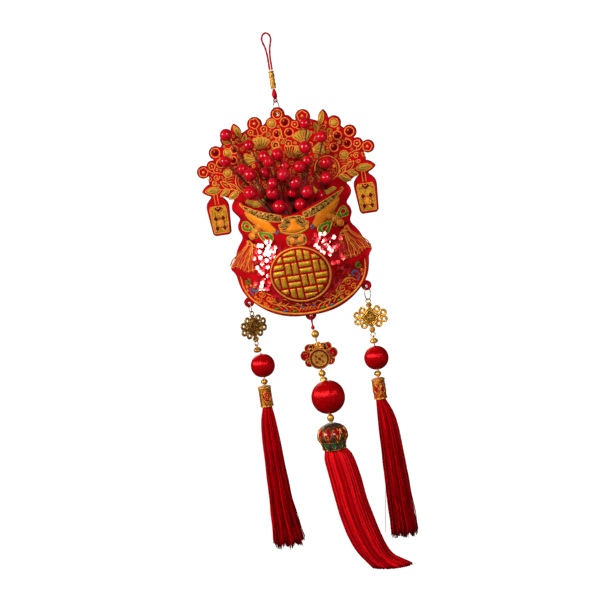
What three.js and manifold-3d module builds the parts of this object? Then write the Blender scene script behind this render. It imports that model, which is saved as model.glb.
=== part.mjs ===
// A festive hanging: a die-cut red felt backing with a felt pocket full of glossy berries, a padded
// medallion, and three drops of ring, metal charm, beads, wound ball, cap and silk tassel.
// Millimetres, +Z up, front towards -Y. The origin is where the cord's loop rests on its hook.
import * as THREE from "three";
import { mergeVertices } from "three/addons/utils/BufferGeometryUtils.js";
import Module from "manifold-3d";

const wasm = await Module();
wasm.setup();

// Driving dimensions
const GAP = 0.3;
const FELT = 3;
const POCKET_FELT = 2.5;
const EYELET_Z = -70;
const PLAQUE_TURN = THREE.MathUtils.degToRad(0.9);
const EYELET_RADIUS = 1.2;

const CORD_RADIUS = 0.85;
const SLEEVE_TOP = -31.5;
const SLEEVE_BOTTOM = -47.5;
const KNOT_BOTTOM = -56.9;
const RING_WIRE = 0.4;
const TOP_RING_RADIUS = 6;
const TOP_RING_YAW = 1.31;

// The pocket stands MOUTH_DEPTH forward at its mouth. Past the sewn margin, a share of its half width,
// it swells over the next BELLY_SHOULDER of that width.
const MOUTH_DEPTH = 28;
const BELLY_FALL = 1.6;
const BELLY_SHOULDER = 0.62;
const SEAM_MARGIN = 0.07;
const POCKET_COLUMNS = 16;

// The medallion is a little flatter than round, lies clear of the curved felt and leans up with it.
const MEDALLION_RADIUS = 28.6;
const MEDALLION_SQUASH = 0.95;
const MEDALLION_V = -141;
const MEDALLION_RISE = 5;
const MEDALLION_LEAN = 0.3;
const MEDALLION_CLEAR = 0.6;

const STEM_RADIUS = 0.7;
const STEM_FOOT_V = -116;
const STEM_STRAIGHT = 14;
const STEM_PITCH = 1.9;
const STEM_CROOK = 3;
const STEM_LIFT = 0.4;

// Drops: the locks of a tassel hang in rings round one in the middle.
const THREAD = 0.6;
const LOCK_RINGS = 3;
const LOCKS_A_RING = 5;

const finish = (color, roughness, metalness = 0) =>
  new THREE.MeshStandardMaterial({ color, roughness, metalness });
const FINISHES = {
  felt: finish(0xb8001a, 0.95),
  pad: finish(0xb48a30, 0.7),
  berry: finish(0xc40020, 0.12),
  cord: finish(0xa80c18, 0.8),
  gold: finish(0xd9a441, 0.3, 1),
  antique: finish(0xa8843c, 0.4, 1),
  enamel: finish(0x8c1420, 0.25),
  silk: finish(0xc01020, 0.45),
  brocade: finish(0xc88a30, 0.6),
};

// Closed shells for each way of making a piece

// Turned about the vertical through x, from [radius, z] pairs that run upwards.
function turned(profile, x = 0, sides = 16) {
  const points = profile.map(([radius, z]) => new THREE.Vector2(radius, z));
  return new THREE.LatheGeometry(points, sides).rotateX(Math.PI / 2).translate(x, 0, 0);
}

// A ring of wire about an axis that lies level, turned by yaw from +Y.
function wireRing(radius, wire, x, z, yaw = 0, segments = 16, sides = 5) {
  return new THREE.TorusGeometry(radius, wire, sides, segments)
    .rotateX(Math.PI / 2)
    .rotateZ(yaw)
    .translate(x, 0, z);
}

// A tube with a polygon section along a curve.
function tube(curve, radius, sides, steps) {
  const section = new THREE.Shape();
  for (let i = 0; i < sides; i++) {
    const angle = (i / sides) * 2 * Math.PI;
    section[i ? "lineTo" : "moveTo"](radius * Math.cos(angle), radius * Math.sin(angle));
  }
  return new THREE.ExtrudeGeometry(section, { steps, extrudePath: curve, curveSegments: 1 });
}

// A thin rod with a polygon section, straight from point to point. level is a direction it never runs along.
function rod(points, radius, sides, level) {
  const positions = [];
  const index = [];
  points.forEach((point, i) => {
    const from = points[Math.max(0, i - 1)];
    const to = points[Math.min(points.length - 1, i + 1)];
    const along = to.clone().sub(from).normalize();
    const side = new THREE.Vector3().crossVectors(along, level).normalize();
    const up = new THREE.Vector3().crossVectors(side, along);
    for (let k = 0; k < sides; k++) {
      const angle = (k / sides) * 2 * Math.PI;
      const corner = point
        .clone()
        .addScaledVector(side, radius * Math.cos(angle))
        .addScaledVector(up, -radius * Math.sin(angle));
      positions.push(corner.x, corner.y, corner.z);
    }
  });
  for (let i = 0; i < points.length - 1; i++) {
    for (let k = 0; k < sides; k++) {
      const here = i * sides;
      const next = (k + 1) % sides;
      index.push(here + k, here + next, here + sides + next);
      index.push(here + k, here + sides + next, here + sides + k);
    }
  }
  const last = (points.length - 1) * sides;
  for (let k = 1; k < sides - 1; k++) {
    index.push(0, k + 1, k);
    index.push(last, last + k, last + k + 1);
  }
  const geometry = new THREE.BufferGeometry();
  geometry.setAttribute("position", new THREE.Float32BufferAttribute(positions, 3));
  geometry.setIndex(index);
  return geometry;
}

// A flat plate of an outline in the plaque's own across and up, standing in the X-Z plane about y = 0.
function plate(shape, thickness, curveSegments = 10) {
  return new THREE.ExtrudeGeometry(shape, { depth: thickness, bevelEnabled: false, curveSegments })
    .rotateX(Math.PI / 2)
    .translate(0, thickness / 2, 0);
}

function disc(u, v, radius, thickness, sides = 14) {
  return new THREE.CylinderGeometry(radius, radius, thickness, sides).translate(u, 0, v);
}

function outline(points) {
  return new THREE.Shape(points.map(([u, v]) => new THREE.Vector2(u, v)));
}

// Two grids, one to each side of a middle surface, closed round their edge.
function sheet(columns, rows, surface, thickness) {
  const positions = [];
  const index = [];
  const at = (i, j, side) => (side * (rows + 1) + j) * (columns + 1) + i;
  const step = 1e-3;
  for (const side of [0, 1]) {
    for (let j = 0; j <= rows; j++) {
      for (let i = 0; i <= columns; i++) {
        const s = i / columns;
        const t = j / rows;
        const here = surface(s, t);
        const across = surface(Math.min(1, s + step), t).sub(surface(Math.max(0, s - step), t));
        const down = surface(s, Math.min(1, t + step)).sub(surface(s, Math.max(0, t - step)));
        const out = new THREE.Vector3().crossVectors(down, across).normalize();
        here.addScaledVector(out, (side ? -0.5 : 0.5) * thickness);
        positions.push(here.x, here.y, here.z);
      }
    }
  }
  const quad = (a, b, c, d) => index.push(a, b, c, a, c, d);
  for (let j = 0; j < rows; j++) {
    for (let i = 0; i < columns; i++) {
      quad(at(i, j, 0), at(i, j + 1, 0), at(i + 1, j + 1, 0), at(i + 1, j, 0));
      quad(at(i, j, 1), at(i + 1, j, 1), at(i + 1, j + 1, 1), at(i, j + 1, 1));
    }
  }
  for (let i = 0; i < columns; i++) {
    quad(at(i, 0, 0), at(i + 1, 0, 0), at(i + 1, 0, 1), at(i, 0, 1));
    quad(at(i, rows, 0), at(i, rows, 1), at(i + 1, rows, 1), at(i + 1, rows, 0));
  }
  for (let j = 0; j < rows; j++) {
    quad(at(0, j, 0), at(0, j, 1), at(0, j + 1, 1), at(0, j + 1, 0));
    quad(at(columns, j, 0), at(columns, j + 1, 0), at(columns, j + 1, 1), at(columns, j, 1));
  }
  const geometry = new THREE.BufferGeometry();
  geometry.setAttribute("position", new THREE.Float32BufferAttribute(positions, 3));
  geometry.setIndex(index);
  return geometry;
}

// Joining and cutting

function solid(geometry) {
  const bare = geometry.clone();
  bare.deleteAttribute("normal");
  bare.deleteAttribute("uv");
  const merged = mergeVertices(bare, 1e-3);
  return new wasm.Manifold(
    new wasm.Mesh({
      numProp: 3,
      vertProperties: merged.attributes.position.array,
      triVerts: new Uint32Array(merged.index.array),
    }),
  );
}

function joined(geometries, cuts = []) {
  let whole = solid(geometries[0]);
  for (const next of geometries.slice(1)) whole = whole.add(solid(next));
  for (const cut of cuts) whole = whole.subtract(solid(cut));
  const mesh = whole.getMesh();
  const geometry = new THREE.BufferGeometry();
  geometry.setAttribute("position", new THREE.BufferAttribute(mesh.vertProperties, 3));
  geometry.setIndex(new THREE.BufferAttribute(mesh.triVerts, 1));
  return geometry;
}

function piece(name, material, geometry) {
  const mesh = new THREE.Mesh(geometry, material);
  mesh.name = name;
  return mesh;
}

// The plaque: its sizes are across (u) and up (v) from the eyelet, mirrored about u = 0

const HALF_BACKING = [
  { u: 0, v: 3 },
  { u: 14.5, v: -7.5 },
  { u: 28.5, v: -8.5 },
  { u: 36, v: -12 },
  { u: 46, v: -11 },
  { u: 54, v: -19 },
  { u: 62, v: -29 },
  { u: 69.5, v: -42 },
  { u: 71, v: -50 },
  { u: 64, v: -61 },
  { u: 56, v: -66 },
];
const LOBES = [
  { u: 6.2, v: -7.5, r: 6 },
  { u: 21.6, v: -5.5, r: 6.7 },
  { u: 48, v: -14.8, r: 6.3 },
  { u: 60.3, v: -24.8, r: 6.2 },
  { u: 65.4, v: -35.6, r: 5 },
  { u: 74.2, v: -39.8, r: 5.8 },
];
const LEAVES = [
  { root_u: 38, root_v: -17, tip_u: 40.3, tip_v: -1.5, half: 4.6 },
  { root_u: 60, root_v: -56, tip_u: 78.6, tip_v: -57.3, half: 5.6 },
];
// The bag's side, from the wing's tip at the mouth down to the lower tab.
const BAG_SIDE = [
  { u: 50, v: -68 },
  { u: 53.5, v: -73 },
  { u: 53.5, v: -78 },
  { u: 47, v: -85.5 },
  { u: 50.6, v: -90 },
  { u: 51.2, v: -95 },
  { u: 47.5, v: -102.5 },
  { u: 54.5, v: -111 },
  { u: 58.5, v: -121 },
  { u: 64.6, v: -128.5 },
  { u: 60, v: -134 },
  { u: 59, v: -142 },
  { u: 57, v: -150 },
  { u: 52.5, v: -158 },
];
const MOUTH_V = -86;
const BOTTOM_V = -180.5;
const MOUTH_CURVE = 1.25;
const BOTTOM_CURVE = 2.6;
const SIDE_TAB = { u: 53.5, v: -161.5, r: 4.6 };
const BOTTOM_TAB = { u: 0, v: -180.5, r: 5 };
const TAB_HOLE_DROP = 0.8;
const EYELET_LOBE = 6.4;
const TAG = {
  u: 66.6,
  neck_v: -60,
  slope_v: -65,
  shoulder_v: -71,
  waist_v: -75,
  foot_v: -98,
  neck: 4.6,
  half: 10.2,
  foot_half: 8.4,
  corner: 2,
};

const lerp = THREE.MathUtils.lerp;

function onSide(t) {
  const place = t * (BAG_SIDE.length - 1);
  const i = Math.min(BAG_SIDE.length - 2, Math.floor(place));
  const part = place - i;
  return {
    u: lerp(BAG_SIDE[i].u, BAG_SIDE[i + 1].u, part),
    v: lerp(BAG_SIDE[i].v, BAG_SIDE[i + 1].v, part),
  };
}

// The bag in plan: s runs -1 to 1 across and t from the mouth, 0, to the bottom, 1.
function bagPlan(s, t) {
  const edge = onSide(t);
  const fall = (BAG_SIDE[0].v - edge.v) / (BAG_SIDE[0].v - BAG_SIDE.at(-1).v);
  const middle = lerp(MOUTH_V, BOTTOM_V, fall);
  const curve = lerp(MOUTH_CURVE, BOTTOM_CURVE, fall);
  const v = middle + (edge.v - middle) * Math.abs(s) ** curve;
  return { u: s * edge.u, v, fall };
}

// How far the bag stands forward of its seam.
function bulge(s, fall) {
  const inward = THREE.MathUtils.clamp((1 - Math.abs(s) - SEAM_MARGIN) / BELLY_SHOULDER, 0, 1);
  return MOUTH_DEPTH * (1 - fall ** BELLY_FALL) * Math.sin((inward * Math.PI) / 2);
}

const POCKET_BACK = -(FELT / 2 + GAP + POCKET_FELT / 2);

function pocketSurface(across, t) {
  const s = 2 * across - 1;
  const { u, v, fall } = bagPlan(s, t);
  return new THREE.Vector3(u, POCKET_BACK - bulge(s, fall), v);
}

// The pocket's middle surface at a plaque point, found by walking its own grid's rows.
function pocketAt(u, v) {
  let low = 0;
  let high = 1;
  for (let i = 0; i < 30; i++) {
    const t = (low + high) / 2;
    const s = u / onSide(t).u;
    if (bagPlan(s, t).v > v) low = t;
    else high = t;
  }
  const t = (low + high) / 2;
  return pocketSurface((u / onSide(t).u + 1) / 2, t);
}

// A leaf: two curves from root to tip whose control points stand LEAF_BELLY half widths out.
const LEAF_BELLY = 1.35;

function leafShape({ root_u, root_v, tip_u, tip_v, half }) {
  const along = new THREE.Vector2(tip_u - root_u, tip_v - root_v);
  const side = new THREE.Vector2(-along.y, along.x).normalize().multiplyScalar(half * LEAF_BELLY);
  const shape = new THREE.Shape();
  const belly = (share, way) =>
    new THREE.Vector2(root_u, root_v).addScaledVector(along, share).addScaledVector(side, way);
  shape.moveTo(root_u, root_v);
  shape.bezierCurveTo(...belly(0.2, 1).toArray(), ...belly(0.7, 1).toArray(), tip_u, tip_v);
  shape.bezierCurveTo(...belly(0.7, -1).toArray(), ...belly(0.2, -1).toArray(), root_u, root_v);
  return shape;
}

const mirrored = (row) => [row, { ...row, u: -row.u }];

function mirroredLeaf(row) {
  return [row, { ...row, root_u: -row.root_u, tip_u: -row.tip_u }];
}

function tagShape(row) {
  const right = [
    [row.neck, row.neck_v],
    [row.neck, row.slope_v],
    [row.half, row.shoulder_v],
    [row.half, row.waist_v],
    [row.foot_half, row.foot_v + row.corner],
    [row.foot_half - row.corner, row.foot_v],
  ];
  const left = right.toReversed().map(([across, v]) => [-across, v]);
  return outline([...right, ...left].map(([across, v]) => [row.u + across, v]));
}

const FLOOR_STEPS = 12;

function feltBacking() {
  const half = [...HALF_BACKING, ...BAG_SIDE.slice(1)].map(({ u, v }) => [u, v]);
  const floor = [];
  for (let i = 1; i < FLOOR_STEPS; i++) {
    const { u, v } = bagPlan(1 - (2 * i) / FLOOR_STEPS, 1);
    floor.push([u, v]);
  }
  const whole = [...half, ...floor, ...half.slice(1).reverse().map(([u, v]) => [-u, v])];
  const parts = [
    plate(outline(whole), FELT),
    disc(0, 0, EYELET_LOBE, FELT),
    disc(BOTTOM_TAB.u, BOTTOM_TAB.v, BOTTOM_TAB.r, FELT),
    ...LOBES.flatMap(mirrored).map(({ u, v, r }) => disc(u, v, r, FELT)),
    ...mirrored(SIDE_TAB).map(({ u, v, r }) => disc(u, v, r, FELT)),
    ...LEAVES.flatMap(mirroredLeaf).map((row) => plate(leafShape(row), FELT, 6)),
    ...mirrored(TAG).map((row) => plate(tagShape(row), FELT)),
  ];
  const holes = [{ u: 0, v: 0 }, BOTTOM_TAB, ...mirrored(SIDE_TAB)].map(({ u, v }, i) =>
    disc(u, v - (i ? TAB_HOLE_DROP : 0), EYELET_RADIUS, FELT + 2, 12),
  );
  return piece("felt_backing", FINISHES.felt, joined(parts, holes));
}

function pocketFront() {
  return piece(
    "pocket_front",
    FINISHES.felt,
    sheet(POCKET_COLUMNS, BAG_SIDE.length - 1, pocketSurface, POCKET_FELT),
  );
}

// A crowned round pad that follows the pocket under it: rings are shares of its radius, each with its share
// of the rise.
const PAD_RINGS = [
  { share: 0.5, rise: 1 },
  { share: 0.86, rise: 0.85 },
  { share: 1, rise: 0.25 },
];

function medallion() {
  const spokes = 24;
  const last = PAD_RINGS.length - 1;
  const positions = [];
  const index = [];
  const clear = new THREE.Vector3(0, -(POCKET_FELT / 2 + MEDALLION_CLEAR), 0);
  const foot = (u, v) => pocketAt(u, v).add(clear);
  const add = (point) => positions.push(point.x, point.y, point.z) / 3 - 1;
  const lifted = (u, v, height) => foot(u, v).add(new THREE.Vector3(0, -height, height * MEDALLION_LEAN));
  const crown = add(lifted(0, MEDALLION_V, MEDALLION_RISE));
  const back = add(foot(0, MEDALLION_V));
  const ring = (share, height) =>
    Array.from({ length: spokes }, (_, k) => {
      const angle = (k / spokes) * 2 * Math.PI;
      const u = MEDALLION_RADIUS * share * Math.cos(angle);
      const v = MEDALLION_V + MEDALLION_RADIUS * MEDALLION_SQUASH * share * Math.sin(angle);
      return add(lifted(u, v, height));
    });
  const front = PAD_RINGS.map(({ share, rise }) => ring(share, MEDALLION_RISE * rise));
  const under = PAD_RINGS.map(({ share }) => ring(share, 0));
  for (let k = 0; k < spokes; k++) {
    const next = (k + 1) % spokes;
    index.push(crown, front[0][k], front[0][next]);
    index.push(back, under[0][next], under[0][k]);
    for (let r = 0; r < last; r++) {
      index.push(front[r][k], front[r + 1][k], front[r + 1][next]);
      index.push(front[r][k], front[r + 1][next], front[r][next]);
      index.push(under[r][k], under[r + 1][next], under[r + 1][k]);
      index.push(under[r][k], under[r][next], under[r + 1][next]);
    }
    index.push(front[last][k], under[last][k], under[last][next]);
    index.push(front[last][k], under[last][next], front[last][next]);
  }
  const geometry = new THREE.BufferGeometry();
  geometry.setAttribute("position", new THREE.Float32BufferAttribute(positions, 3));
  geometry.setIndex(index);
  return piece("medallion", FINISHES.pad, geometry);
}

// Berries: place across, up and forward of the backing's middle, and radius. A stem runs straight up for
// STEM_STRAIGHT, then lies along the backing and crooks forward into its berry from STEM_CROOK below it.
// layer says which row of the bunch its stem joins, 0 next to the backing; the rows run left to right.
const BERRIES = [
  { u: -50.6, v: -33.4, forward: 12, r: 5.3, layer: 0 },
  { u: -46.4, v: -10.6, forward: 11, r: 6, layer: 0 },
  { u: -36.7, v: -42.3, forward: 13, r: 5.5, layer: 1 },
  { u: -32.4, v: -63.7, forward: 17, r: 6.6, layer: 2 },
  { u: -29.4, v: -47.6, forward: 22, r: 6.2, layer: 2 },
  { u: -27.6, v: -22.5, forward: 12, r: 5.3, layer: 0 },
  { u: -15.3, v: -34, forward: 18, r: 5.4, layer: 1 },
  { u: -16.8, v: -48, forward: 14, r: 5, layer: 0 },
  { u: -13.2, v: -66.5, forward: 18, r: 6, layer: 1 },
  { u: -10.2, v: -38.6, forward: 28, r: 5.3, layer: 2 },
  { u: -10.2, v: -57.8, forward: 27, r: 5, layer: 2 },
  { u: -8.5, v: -79.3, forward: 20, r: 6.6, layer: 2 },
  { u: -4, v: -34.2, forward: 13, r: 5.8, layer: 0 },
  { u: 4.5, v: -68.6, forward: 17, r: 5, layer: 1 },
  { u: 2.2, v: -44.8, forward: 21, r: 5, layer: 1 },
  { u: 1.2, v: -51.6, forward: 31.5, r: 6, layer: 2 },
  { u: 9.8, v: -60.2, forward: 27, r: 6, layer: 2 },
  { u: 10, v: -80.3, forward: 19, r: 6, layer: 2 },
  { u: 15.2, v: -47.4, forward: 24, r: 5.5, layer: 1 },
  { u: 18.4, v: -69.8, forward: 25, r: 6.2, layer: 2 },
  { u: 21.2, v: -44, forward: 13, r: 5, layer: 0 },
  { u: 22, v: -31.8, forward: 19, r: 6, layer: 1 },
  { u: 24.4, v: -11.6, forward: 11, r: 5.3, layer: 0 },
  { u: 28, v: -76, forward: 13, r: 5.4, layer: 0 },
  { u: 35.4, v: -61, forward: 14, r: 6, layer: 1 },
  { u: 36.8, v: -25.4, forward: 13, r: 5.5, layer: 0 },
  { u: 38.5, v: -47.6, forward: 22, r: 5.5, layer: 1 },
];

// The direction in which a berry leaves the bunch, used to keep stems in order.
const heading = ({ u, v }) => Math.atan2(u, v - STEM_FOOT_V - STEM_STRAIGHT);

function berries() {
  const rows = [0, 1, 2].map((layer) =>
    BERRIES.filter((berry) => berry.layer === layer).sort((a, b) => heading(a) - heading(b)),
  );
  return rows.flatMap((row, layer) =>
    row.map((berry, k) => {
      const centre = new THREE.Vector3(berry.u, -berry.forward, berry.v);
      const depth = -(FELT / 2 + GAP + STEM_RADIUS + layer * STEM_PITCH);
      const foot = new THREE.Vector3((k - (row.length - 1) / 2) * STEM_PITCH, depth, STEM_FOOT_V);
      const bend = foot.clone().add(new THREE.Vector3(0, 0, STEM_STRAIGHT));
      const behind = new THREE.Vector3(berry.u, depth - STEM_LIFT, berry.v - STEM_CROOK);
      const stem = rod([foot, bend, behind, centre], STEM_RADIUS, 4, new THREE.Vector3(1, 0, 0));
      const ball = new THREE.SphereGeometry(berry.r, 8, 6)
        .rotateX(Math.PI / 2)
        .translate(centre.x, centre.y, centre.z);
      const name = `berry_${"abc"[layer]}${String(k + 1).padStart(2, "0")}`;
      return piece(name, FINISHES.berry, joined([ball, stem]));
    }),
  );
}

// The hanging loop, its gold sleeve, the knot and the wire ring through the eyelet

// Half the loop's route, from the sleeve up to its top.
const LOOP_SIDE = [
  { x: 1.05, z: SLEEVE_TOP + GAP },
  { x: 1.05, z: -26 },
  { x: 1.15, z: -19 },
  { x: 2, z: -12 },
  { x: 3.5, z: -7 },
  { x: 3.9, z: -3.6 },
  { x: 2.6, z: -0.5 },
];

function hangingLoop() {
  const top = { x: 0, z: CORD_RADIUS };
  const route = [...LOOP_SIDE, top, ...LOOP_SIDE.toReversed().map(({ x, z }) => ({ x: -x, z }))];
  const curve = new THREE.CatmullRomCurve3(route.map(({ x, z }) => new THREE.Vector3(x, 0, z)));
  return piece("hanging_loop", FINISHES.cord, tube(curve, CORD_RADIUS, 8, 24));
}

// Its barrels and bands, as radius and height above its foot.
const SLEEVE_BANDS = [
  { radius: 2, rise: 0 },
  { radius: 2.5, rise: 0.6 },
  { radius: 2, rise: 1.4 },
  { radius: 2.6, rise: 2.6 },
  { radius: 2.6, rise: 4.6 },
  { radius: 2, rise: 5.8 },
  { radius: 2.4, rise: 6.6 },
  { radius: 2.4, rise: 8.2 },
  { radius: 2, rise: 9 },
  { radius: 2.6, rise: 10.2 },
  { radius: 2.6, rise: 12.6 },
  { radius: 2, rise: 13.6 },
  { radius: 2.4, rise: 14.4 },
  { radius: 2.3, rise: SLEEVE_TOP - SLEEVE_BOTTOM },
];

function goldSleeve() {
  const bands = SLEEVE_BANDS.map(({ radius, rise }) => [radius, SLEEVE_BOTTOM + rise]);
  return piece("gold_sleeve", FINISHES.gold, turned([[0, SLEEVE_BOTTOM], ...bands, [0, SLEEVE_TOP]], 0, 9));
}

// The knot ends in a small loop of its own cord that holds the ring.
const KNOT_EYE_RADIUS = 1.5;
const KNOT_EYE_CORD = 0.6;

function topKnot() {
  const top = SLEEVE_BOTTOM - GAP;
  const profile = [
    [0, KNOT_BOTTOM],
    [1, KNOT_BOTTOM],
    [1.9, KNOT_BOTTOM + 1.8],
    [2.25, KNOT_BOTTOM + 3.6],
    [1.9, KNOT_BOTTOM + 6],
    [1.4, top - 1.6],
    [1.2, top],
    [0, top],
  ];
  const eye_z = KNOT_BOTTOM + KNOT_EYE_CORD - KNOT_EYE_RADIUS;
  const eye = wireRing(KNOT_EYE_RADIUS, KNOT_EYE_CORD, 0, eye_z, 0, 10);
  return piece("top_knot", FINISHES.cord, joined([turned(profile, 0, 8), eye]));
}

function topRing() {
  const ring = wireRing(TOP_RING_RADIUS, RING_WIRE, 0, EYELET_Z + TOP_RING_RADIUS, TOP_RING_YAW);
  return piece("top_ring", FINISHES.gold, ring);
}

// Drops

function onPlaque(u, v) {
  const cos = Math.cos(PLAQUE_TURN);
  const sin = Math.sin(PLAQUE_TURN);
  return { x: u * cos - v * sin, z: EYELET_Z + u * sin + v * cos };
}

// A bead is a little fuller than an ellipsoid.
const FULLNESS = 0.9;

// A bead or wound ball with the thread that runs through it, from stub_top down to stub_bottom.
function threaded(centre_z, radius, half_height, x, stub_top, stub_bottom, sides = 12) {
  const profile = [[0, stub_bottom]];
  if (stub_bottom < centre_z - half_height) profile.push([THREAD, stub_bottom]);
  const bands = sides > 14 ? 8 : 5;
  for (let k = 0; k <= bands; k++) {
    const angle = ((k + 0.5) / (bands + 1)) * Math.PI;
    profile.push([radius * Math.sin(angle) ** FULLNESS, centre_z - half_height * Math.cos(angle)]);
  }
  if (stub_top > centre_z + half_height) profile.push([THREAD, stub_top]);
  profile.push([0, stub_top]);
  return turned(profile, x, sides);
}

// Locks packed in rings, as unit places across and deep.
function lockPlaces(rings, first) {
  const places = [{ a: 0, b: 0 }];
  for (let ring = 1; ring <= rings; ring++) {
    for (let k = 0; k < first * ring; k++) {
      const angle = ((k + 0.5 * (ring % 2)) / (first * ring)) * 2 * Math.PI;
      places.push({ a: (ring / rings) * Math.cos(angle), b: (ring / rings) * Math.sin(angle) });
    }
  }
  return places;
}

// The locks are rooted this far inside the head's side and above its foot.
const ROOT_INSET = 1.2;
const ROOT_DEPTH = 0.8;

// A tassel: a head that sits in the cap, and locks of thread that hang from it.
// route(a, b) gives the points that the lock at a across and b deep follows.
function tassel(name, head, route, lock_radius) {
  const root_reach = head.radius - ROOT_INSET;
  const top = turned(
    [
      [0, head.bottom],
      [head.radius, head.bottom],
      [head.radius, head.top],
      [0, head.top],
    ],
    head.x,
    14,
  );
  const locks = lockPlaces(LOCK_RINGS, LOCKS_A_RING).map(({ a, b }) => {
    const points = route(a, b);
    const root = new THREE.Vector3(head.x + a * root_reach, b * root_reach, head.bottom + ROOT_DEPTH);
    return rod([root, ...points], lock_radius, 3, new THREE.Vector3(0, 1, 0));
  });
  return piece(name, FINISHES.silk, joined([top, ...locks]));
}

// How far a lock strays from its place, how uneven the ends are, and a side tassel's depth to its width.
const STRAY = 0.5;
const UNEVEN_END = 3;
const SIDE_DEPTH = 0.8;

// A little unevenness that is the same at every run.
const wander = (a, b, seed) => Math.sin(37 * a + 71 * b + seed) * Math.cos(53 * b - 29 * a + 2 * seed);

const SIDE_DROPS = [
  {
    side: "left",
    way: -1,
    ring_radius: 4.4,
    ring_yaw: 2,
    charm_x: -50.2,
    charm_z: -255,
    charm_turn: 0.87,
    bead_z: -276.6,
    ball_x: -47.6,
    ball_z: -291.3,
    ball_r: 11,
    lower_bead_z: -306.3,
    cap_x: -49.4,
    cap_top: -309.8,
    cap_bottom: -329.3,
    ends: [
      { z: -352, x: -50.6, half: 7.6 },
      { z: -418, x: -50.2, half: 10.4 },
      { z: -459, x: -48.4, half: 14.4 },
    ],
    seed: 1,
  },
  {
    side: "right",
    way: 1,
    ring_radius: 6.2,
    ring_yaw: 1.24,
    charm_x: 55.6,
    charm_z: -259.5,
    charm_turn: 0,
    bead_z: -281.4,
    ball_x: 55.6,
    ball_z: -296.9,
    ball_r: 11,
    lower_bead_z: -311.4,
    cap_x: 54.2,
    cap_top: -315.3,
    cap_bottom: -334.5,
    ends: [
      { z: -358, x: 57.4, half: 8.6 },
      { z: -412, x: 58.2, half: 10.8 },
      { z: -461, x: 58.8, half: 12.2 },
    ],
    seed: 5,
  },
];

const CHARM_PLATE = 2.2;
const CHARM_HALF = 10;
const CHARM_LOOP = { radius: 2.5, wire: 0.95 };
const CHARM_BARREL = { neck: 1.4, radius: 2.7, half_length: 0.8 };
const CHARM_LOOPS = [
  { u: 6.5, v: 6.8 },
  { u: 11.8, v: 2.9 },
  { u: 11.8, v: -2.9 },
  { u: 6.5, v: -6.8 },
];
const BARREL_SINK = 1;
const EYE_SINK = 0.2;
const EYE_RADIUS = 2;
const EYE_WIRE = 0.5;
const EYE_PLAY = 0.45;

// The bead under the charm has an eye of its own, and the thread from it runs on through the ball.
const UPPER_BEAD = { radius: 3.8, half_height: 2.3, stub: 3, eye_rise: 4.1, eye_radius: 1.3, eye_wire: 0.4 };
const LOWER_BEAD = { radius: 3.3, half_height: 2.2 };
const BALL_SQUASH = 0.97;
const BALL_TAIL = 0.6;
const CAP_RADIUS = 5.8;
const HEAD = { radius: 4.5, rise: 6, drop: 0.6 };
const LOCK_RADIUS = 1;

function barrelProfile(low, high) {
  const { neck, radius, half_length } = CHARM_BARREL;
  const middle = (low + high) / 2;
  return [
    [0, low],
    [neck, low],
    [radius, middle - half_length],
    [radius, middle + half_length],
    [neck, high],
    [0, high],
  ];
}

// An endless-knot charm: a square plate on its corner, loops at its sides, a barrel and an eye at each end.
function knotCharm({ side, charm_x, charm_z, charm_turn, ring_radius, way, bead_z }) {
  const hole = onPlaque(way * SIDE_TAB.u, SIDE_TAB.v - TAB_HOLE_DROP);
  const reach = EYE_RADIUS - EYE_WIRE - RING_WIRE - EYE_PLAY;
  const eye_top = hole.z - 2 * ring_radius - charm_z - reach;
  const eye_bottom = bead_z + UPPER_BEAD.eye_rise + EYE_RADIUS - charm_z;
  const square = outline([
    [0, CHARM_HALF],
    [-CHARM_HALF, 0],
    [0, -CHARM_HALF],
    [CHARM_HALF, 0],
  ]);
  const parts = [plate(square, CHARM_PLATE)];
  for (const { u, v } of CHARM_LOOPS.flatMap(mirrored)) {
    parts.push(wireRing(CHARM_LOOP.radius, CHARM_LOOP.wire, u, v, 0, 8, 3));
  }
  for (const way_up of [1, -1]) {
    const eye = way_up > 0 ? eye_top : eye_bottom;
    const near = way_up * (CHARM_HALF - BARREL_SINK);
    const far = eye - way_up * (EYE_RADIUS - EYE_SINK);
    parts.push(turned(barrelProfile(Math.min(near, far), Math.max(near, far)), 0, 8));
    parts.push(wireRing(EYE_RADIUS, EYE_WIRE, 0, eye, 0, 8, 4));
  }
  const charm = piece(`${side}_charm`, FINISHES.antique, joined(parts));
  charm.position.set(charm_x, 0, charm_z);
  charm.rotation.z = charm_turn;
  return charm;
}

// A cap is a thimble, open below, with a rolled rim at each end.
function capProfile(radius, top, bottom) {
  return [
    [0, top - 4],
    [radius - 0.9, top - 4],
    [radius - 0.9, bottom],
    [radius, bottom],
    [radius + 0.35, bottom + 0.8],
    [radius, bottom + 1.8],
    [radius, top - 2.4],
    [radius + 0.35, top - 1.4],
    [radius - 0.6, top - 0.5],
    [1.6, top],
    [0, top],
  ];
}

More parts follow.
